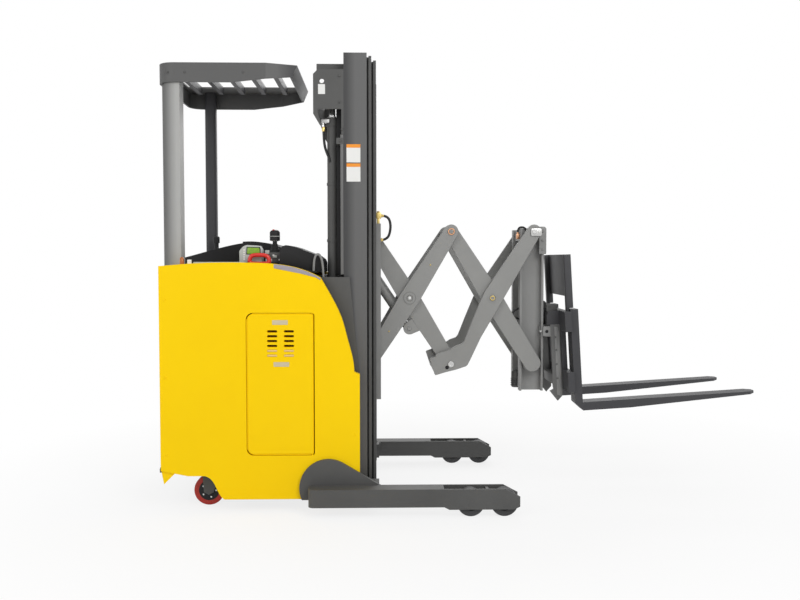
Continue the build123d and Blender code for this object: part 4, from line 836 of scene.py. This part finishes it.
def doors_and_panels():
    """Blank plates, vent fillers and screws on the service door and side panels."""
    for name, corner in (("upper", (-548, 972)), ("lower", (-542, 756))):
        bm = bmesh.new()
        x, z = corner
        add_plate(bm, ((x, z), (x + 80, z), (x + 80, z + 24), (x, z + 24)), (-510, -510.9), 0)
        place("door_plate_" + name, bm, PLATE, "service_door", "bezel_plastic")
    fill = bmesh.new()
    for centre in (-549, -463):
        for row in (4, 5):
            height = 938 - 25 * row
            add_block(fill, (centre - 25, centre + 25), (-509.5, -500), (height - 5, height + 5), 1.5)
    place("vent_fillers", fill, BUFF, "service_door", "yellow_paint")
    shade_sheets = bmesh.new()
    # Dark brown sheets behind the vent slots: painted shade inside the vents.
    for centre in (-549, -463):
        add_block(shade_sheets, (centre - 34, centre + 34), (-474, -472), (850, 950), 0.5)
    place("vent_shade_backing", shade_sheets, VENT_PAINTED_SHADE, "service_door", "yellow_paint")
    seal = bmesh.new()
    add_block(seal, (-681, -677.5), (-506.5, -474), (326, 1002), 0.5)
    add_block(seal, (-652, -352), (-506.5, -474), (1027.5, 1031), 0.5)
    add_block(seal, (-652, -352), (-506.5, -474), (297, 300.5), 0.5)
    place("door_seal", seal, YELLOW, "service_door", "yellow_paint")
    for hand, sign in HANDS:
        face = sign * 510
        screws = [(x, face, z) for x, z in ((-1095, 300), (-1095, 700), (-1095, 1100), (-130, 120), (-130, 400))]
        bm = bmesh.new()
        for spot in screws:
            add_turned(bm, spot, (0, sign, 0), ((7, -0.5), (7, 1), (5.5, 2.2), (2.5, 2.2), (2, 1.2)), 20)
        place("panel_screws_" + hand, bm, YELLOW, "chassis", "yellow_paint")


def rear_and_floor():
    """Ribs of the floor mat, edge guard of the platform and bolts of the guard columns."""
    ribs = bmesh.new()
    for step in range(22):
        y = -292 + 17.5 * step
        if y < 80:
            add_block(ribs, (-1108, -728), (y, y + 7), (227.5, 230.5), 1)
    place("mat_ribs", ribs, MAT, "chassis", "mat_rubber")
    tread = bmesh.new()
    add_block(tread, (-1141, -1126), (-460, 96), (216, 224), 1.5)
    place("platform_edge", tread, RUBBER, "chassis", "mat_rubber")
    rear = [(-1125, y, z) for y in (140, 430) for z in (300, 700, 1100)]
    bolts("rear_bolts", rear, (-1, 0, 0), 7, ZINC, "chassis", "chrome_rod")
    dash = bmesh.new()
    for z in (480, 500, 520, 540, 560):
        add_block(dash, (-703, -699), (-260, 20), (z, z + 8), 1)
    place("dash_grille", dash, RUBBER, "chassis", "mat_rubber")
    pad = bmesh.new()
    add_block(pad, (-716, -700), (-420, 60), (900, 1150), 6)
    place("knee_pad", pad, RUBBER, "chassis", "mat_rubber")


def guard():
    """Bolts of the overhead guard."""
    for hand, sign in HANDS:
        spots = [(x, sign * 420, 2270) for x in (-1090, -1000, -700)]
        bm = bmesh.new()
        for spot in spots:
            add_turned(bm, spot, (0, sign, 0), ((6, -0.5), (6, 1.4), (4.5, 2.6)), 20)
        place("guard_rivets_" + hand, bm, DARK, "chassis", "dark_paint")


def wheels():
    """Hubs and bolts of the wheels."""
    hub = bmesh.new()
    for face, sign in ((-370, -1), (-320, 1)):
        add_turned(hub, (-905, face, 80), (0, sign, 0), ((54, -1), (54, 1.5), (50, 3), (24, 3), (22, 2)), 40)
    place("caster_hub", hub, BLACK, "caster_wheel", "dark_paint")
    spots = []
    for step in range(5):
        turn = 2 * math.pi * step / 5
        spots.append((-905 + 37 * math.cos(turn), -373, 80 + 37 * math.sin(turn)))
    bm = bmesh.new()
    for spot in spots:
        add_turned(bm, spot, (0, -1, 0), ((5, -0.5), (5, 1.6), (4, 2.2)), 6)
    place("caster_bolts", bm, ZINC, "caster_wheel", "chrome_rod")
    drive = bmesh.new()
    add_turned(drive, (-870, 245, 150), (0, -1, 0), ((92, -1), (92, 3), (86, 6), (40, 6), (36, 4)), 48)
    place("drive_hub", drive, DARK, "drive_wheel", "dark_paint")
    spots = []
    for step in range(8):
        turn = 2 * math.pi * step / 8
        spots.append((-870 + 62 * math.cos(turn), 239, 150 + 62 * math.sin(turn)))
    bolts("drive_bolts", spots, (0, -1, 0), 8, ZINC, "drive_wheel", "chrome_rod")
    for end, x in (("rear", 466), ("front", 638)):
        for hand, sign in HANDS:
            bm = bmesh.new()
            for face, way in ((sign * 613, sign), (sign * 547, -sign)):
                add_ring(bm, (x, face, 70), (0, way, 0), 11, 22, -1, 3)
            place("load_hub_" + end + "_" + hand, bm, ZINC, "load_wheel_" + end + "_" + hand, "chrome_rod")
            bm = bmesh.new()
            add_turned(bm, (x, sign * 630, 70), (0, -sign, 0), ((15, -0.4), (15, 0.2), (13, 0.4)), 24)
            place("axle_end_" + end + "_" + hand, bm, DARK, "chassis", "dark_paint")


arms()
pantograph()
front_frame_details()
carriage_details()
mast()
console()
steering()
doors_and_panels()
rear_and_floor()
guard()
wheels()


# Stage: floor, lights and camera
def seen_directly(tree):
    """1 for camera, glossy and transmission rays, otherwise 0."""
    path = tree.nodes.new("ShaderNodeLightPath")
    both = tree.nodes.new("ShaderNodeMath")
    both.operation = "MAXIMUM"
    tree.links.new(path.outputs["Is Camera Ray"], both.inputs[0])
    tree.links.new(path.outputs["Is Glossy Ray"], both.inputs[1])
    every = tree.nodes.new("ShaderNodeMath")
    every.operation = "MAXIMUM"
    tree.links.new(both.outputs[0], every.inputs[0])
    tree.links.new(path.outputs["Is Transmission Ray"], every.inputs[1])
    return every.outputs[0]


FLOOR_HALF = 14
SHADOW_SHARE = 0.2


def floor():
    """White floor that keeps a faint shadow near the truck and runs on as a plain backdrop."""
    bm = bmesh.new()
    half = FLOOR_HALF
    bm.faces.new([bm.verts.new(p) for p in ((-half, -half, 0), (half, -half, 0), (half, half, 0), (-half, half, 0))])
    mesh = bpy.data.meshes.new("floor")
    bm.to_mesh(mesh)
    bm.free()
    obj = bpy.data.objects.new("floor", mesh)
    bpy.context.scene.collection.objects.link(obj)
    mat, tree, bsdf = new_material("floor")
    tone = ramp(tree, object_noise(tree, 0.6).outputs["Fac"], 0.3, 0.7, (0.86, 0.86, 0.86), (0.9, 0.9, 0.9))
    tree.links.new(tone.outputs["Color"], bsdf.inputs["Base Color"])
    bsdf.inputs["Roughness"].default_value = 0.9
    white = tree.nodes.new("ShaderNodeEmission")
    coords = tree.nodes.new("ShaderNodeTexCoord")
    reach = tree.nodes.new("ShaderNodeVectorMath")
    reach.operation = "LENGTH"
    tree.links.new(coords.outputs["Object"], reach.inputs[0])
    fade = tree.nodes.new("ShaderNodeMapRange")
    fade.inputs["From Min"].default_value = 1.2
    fade.inputs["From Max"].default_value = 3.2
    fade.inputs["To Min"].default_value = 1 - SHADOW_SHARE
    fade.inputs["To Max"].default_value = 1.0
    tree.links.new(reach.outputs["Value"], fade.inputs["Value"])
    share = tree.nodes.new("ShaderNodeMath")
    share.operation = "MULTIPLY"
    tree.links.new(fade.outputs["Result"], share.inputs[0])
    tree.links.new(seen_directly(tree), share.inputs[1])
    mix = tree.nodes.new("ShaderNodeMixShader")
    tree.links.new(share.outputs[0], mix.inputs["Fac"])
    tree.links.new(bsdf.outputs[0], mix.inputs[1])
    tree.links.new(white.outputs[0], mix.inputs[2])
    tree.links.new(mix.outputs[0], tree.nodes["Material Output"].inputs[0])
    mesh.materials.append(mat)


def area_light(name, place, target, size, power):
    """Soft square light aimed at a point."""
    data = bpy.data.lights.new(name, "AREA")
    data.size = size
    data.energy = power
    obj = bpy.data.objects.new(name, data)
    obj.location = place
    obj.rotation_euler = (Vector(target) - Vector(place)).to_track_quat("-Z", "Y").to_euler()
    bpy.context.scene.collection.objects.link(obj)


def world_light(strength):
    """Even light from all round, with a white backdrop behind the truck."""
    world = bpy.data.worlds.new("studio")
    world.use_nodes = True
    tree = world.node_tree
    light = tree.nodes["Background"]
    light.inputs["Color"].default_value = (1, 1, 1, 1)
    light.inputs["Strength"].default_value = strength
    white = tree.nodes.new("ShaderNodeBackground")
    white.inputs["Color"].default_value = (1, 1, 1, 1)
    white.inputs["Strength"].default_value = 1.0
    mix = tree.nodes.new("ShaderNodeMixShader")
    tree.links.new(seen_directly(tree), mix.inputs["Fac"])
    tree.links.new(light.outputs[0], mix.inputs[1])
    tree.links.new(white.outputs[0], mix.inputs[2])
    tree.links.new(mix.outputs[0], tree.nodes["World Output"].inputs[0])
    bpy.context.scene.world = world


CAMERA_PLACE = (-0.4525, -4.9725, 1.31)
CAMERA_YAW = -1.38
CAMERA_PITCH = -2.71
CAMERA_LENS = 39.15


def camera():
    data = bpy.data.cameras.new("photo_camera")
    data.lens = CAMERA_LENS
    data.sensor_width = 36
    obj = bpy.data.objects.new("photo_camera", data)
    obj.location = CAMERA_PLACE
    obj.rotation_euler = (math.radians(90 + CAMERA_PITCH), 0, math.radians(CAMERA_YAW))
    bpy.context.scene.collection.objects.link(obj)
    bpy.context.scene.camera = obj


floor()
area_light("key", (1.8, -4.6, 4.0), (0, 0, 1.0), 2.6, 120)
area_light("fill", (-3.6, -3.8, 2.4), (-0.2, 0, 0.9), 2.6, 40)
area_light("back", (0.6, 3.8, 3.8), (0, 0, 1.2), 3.0, 70)
world_light(0.5)
camera()
bpy.context.scene.view_settings.view_transform = "Standard"
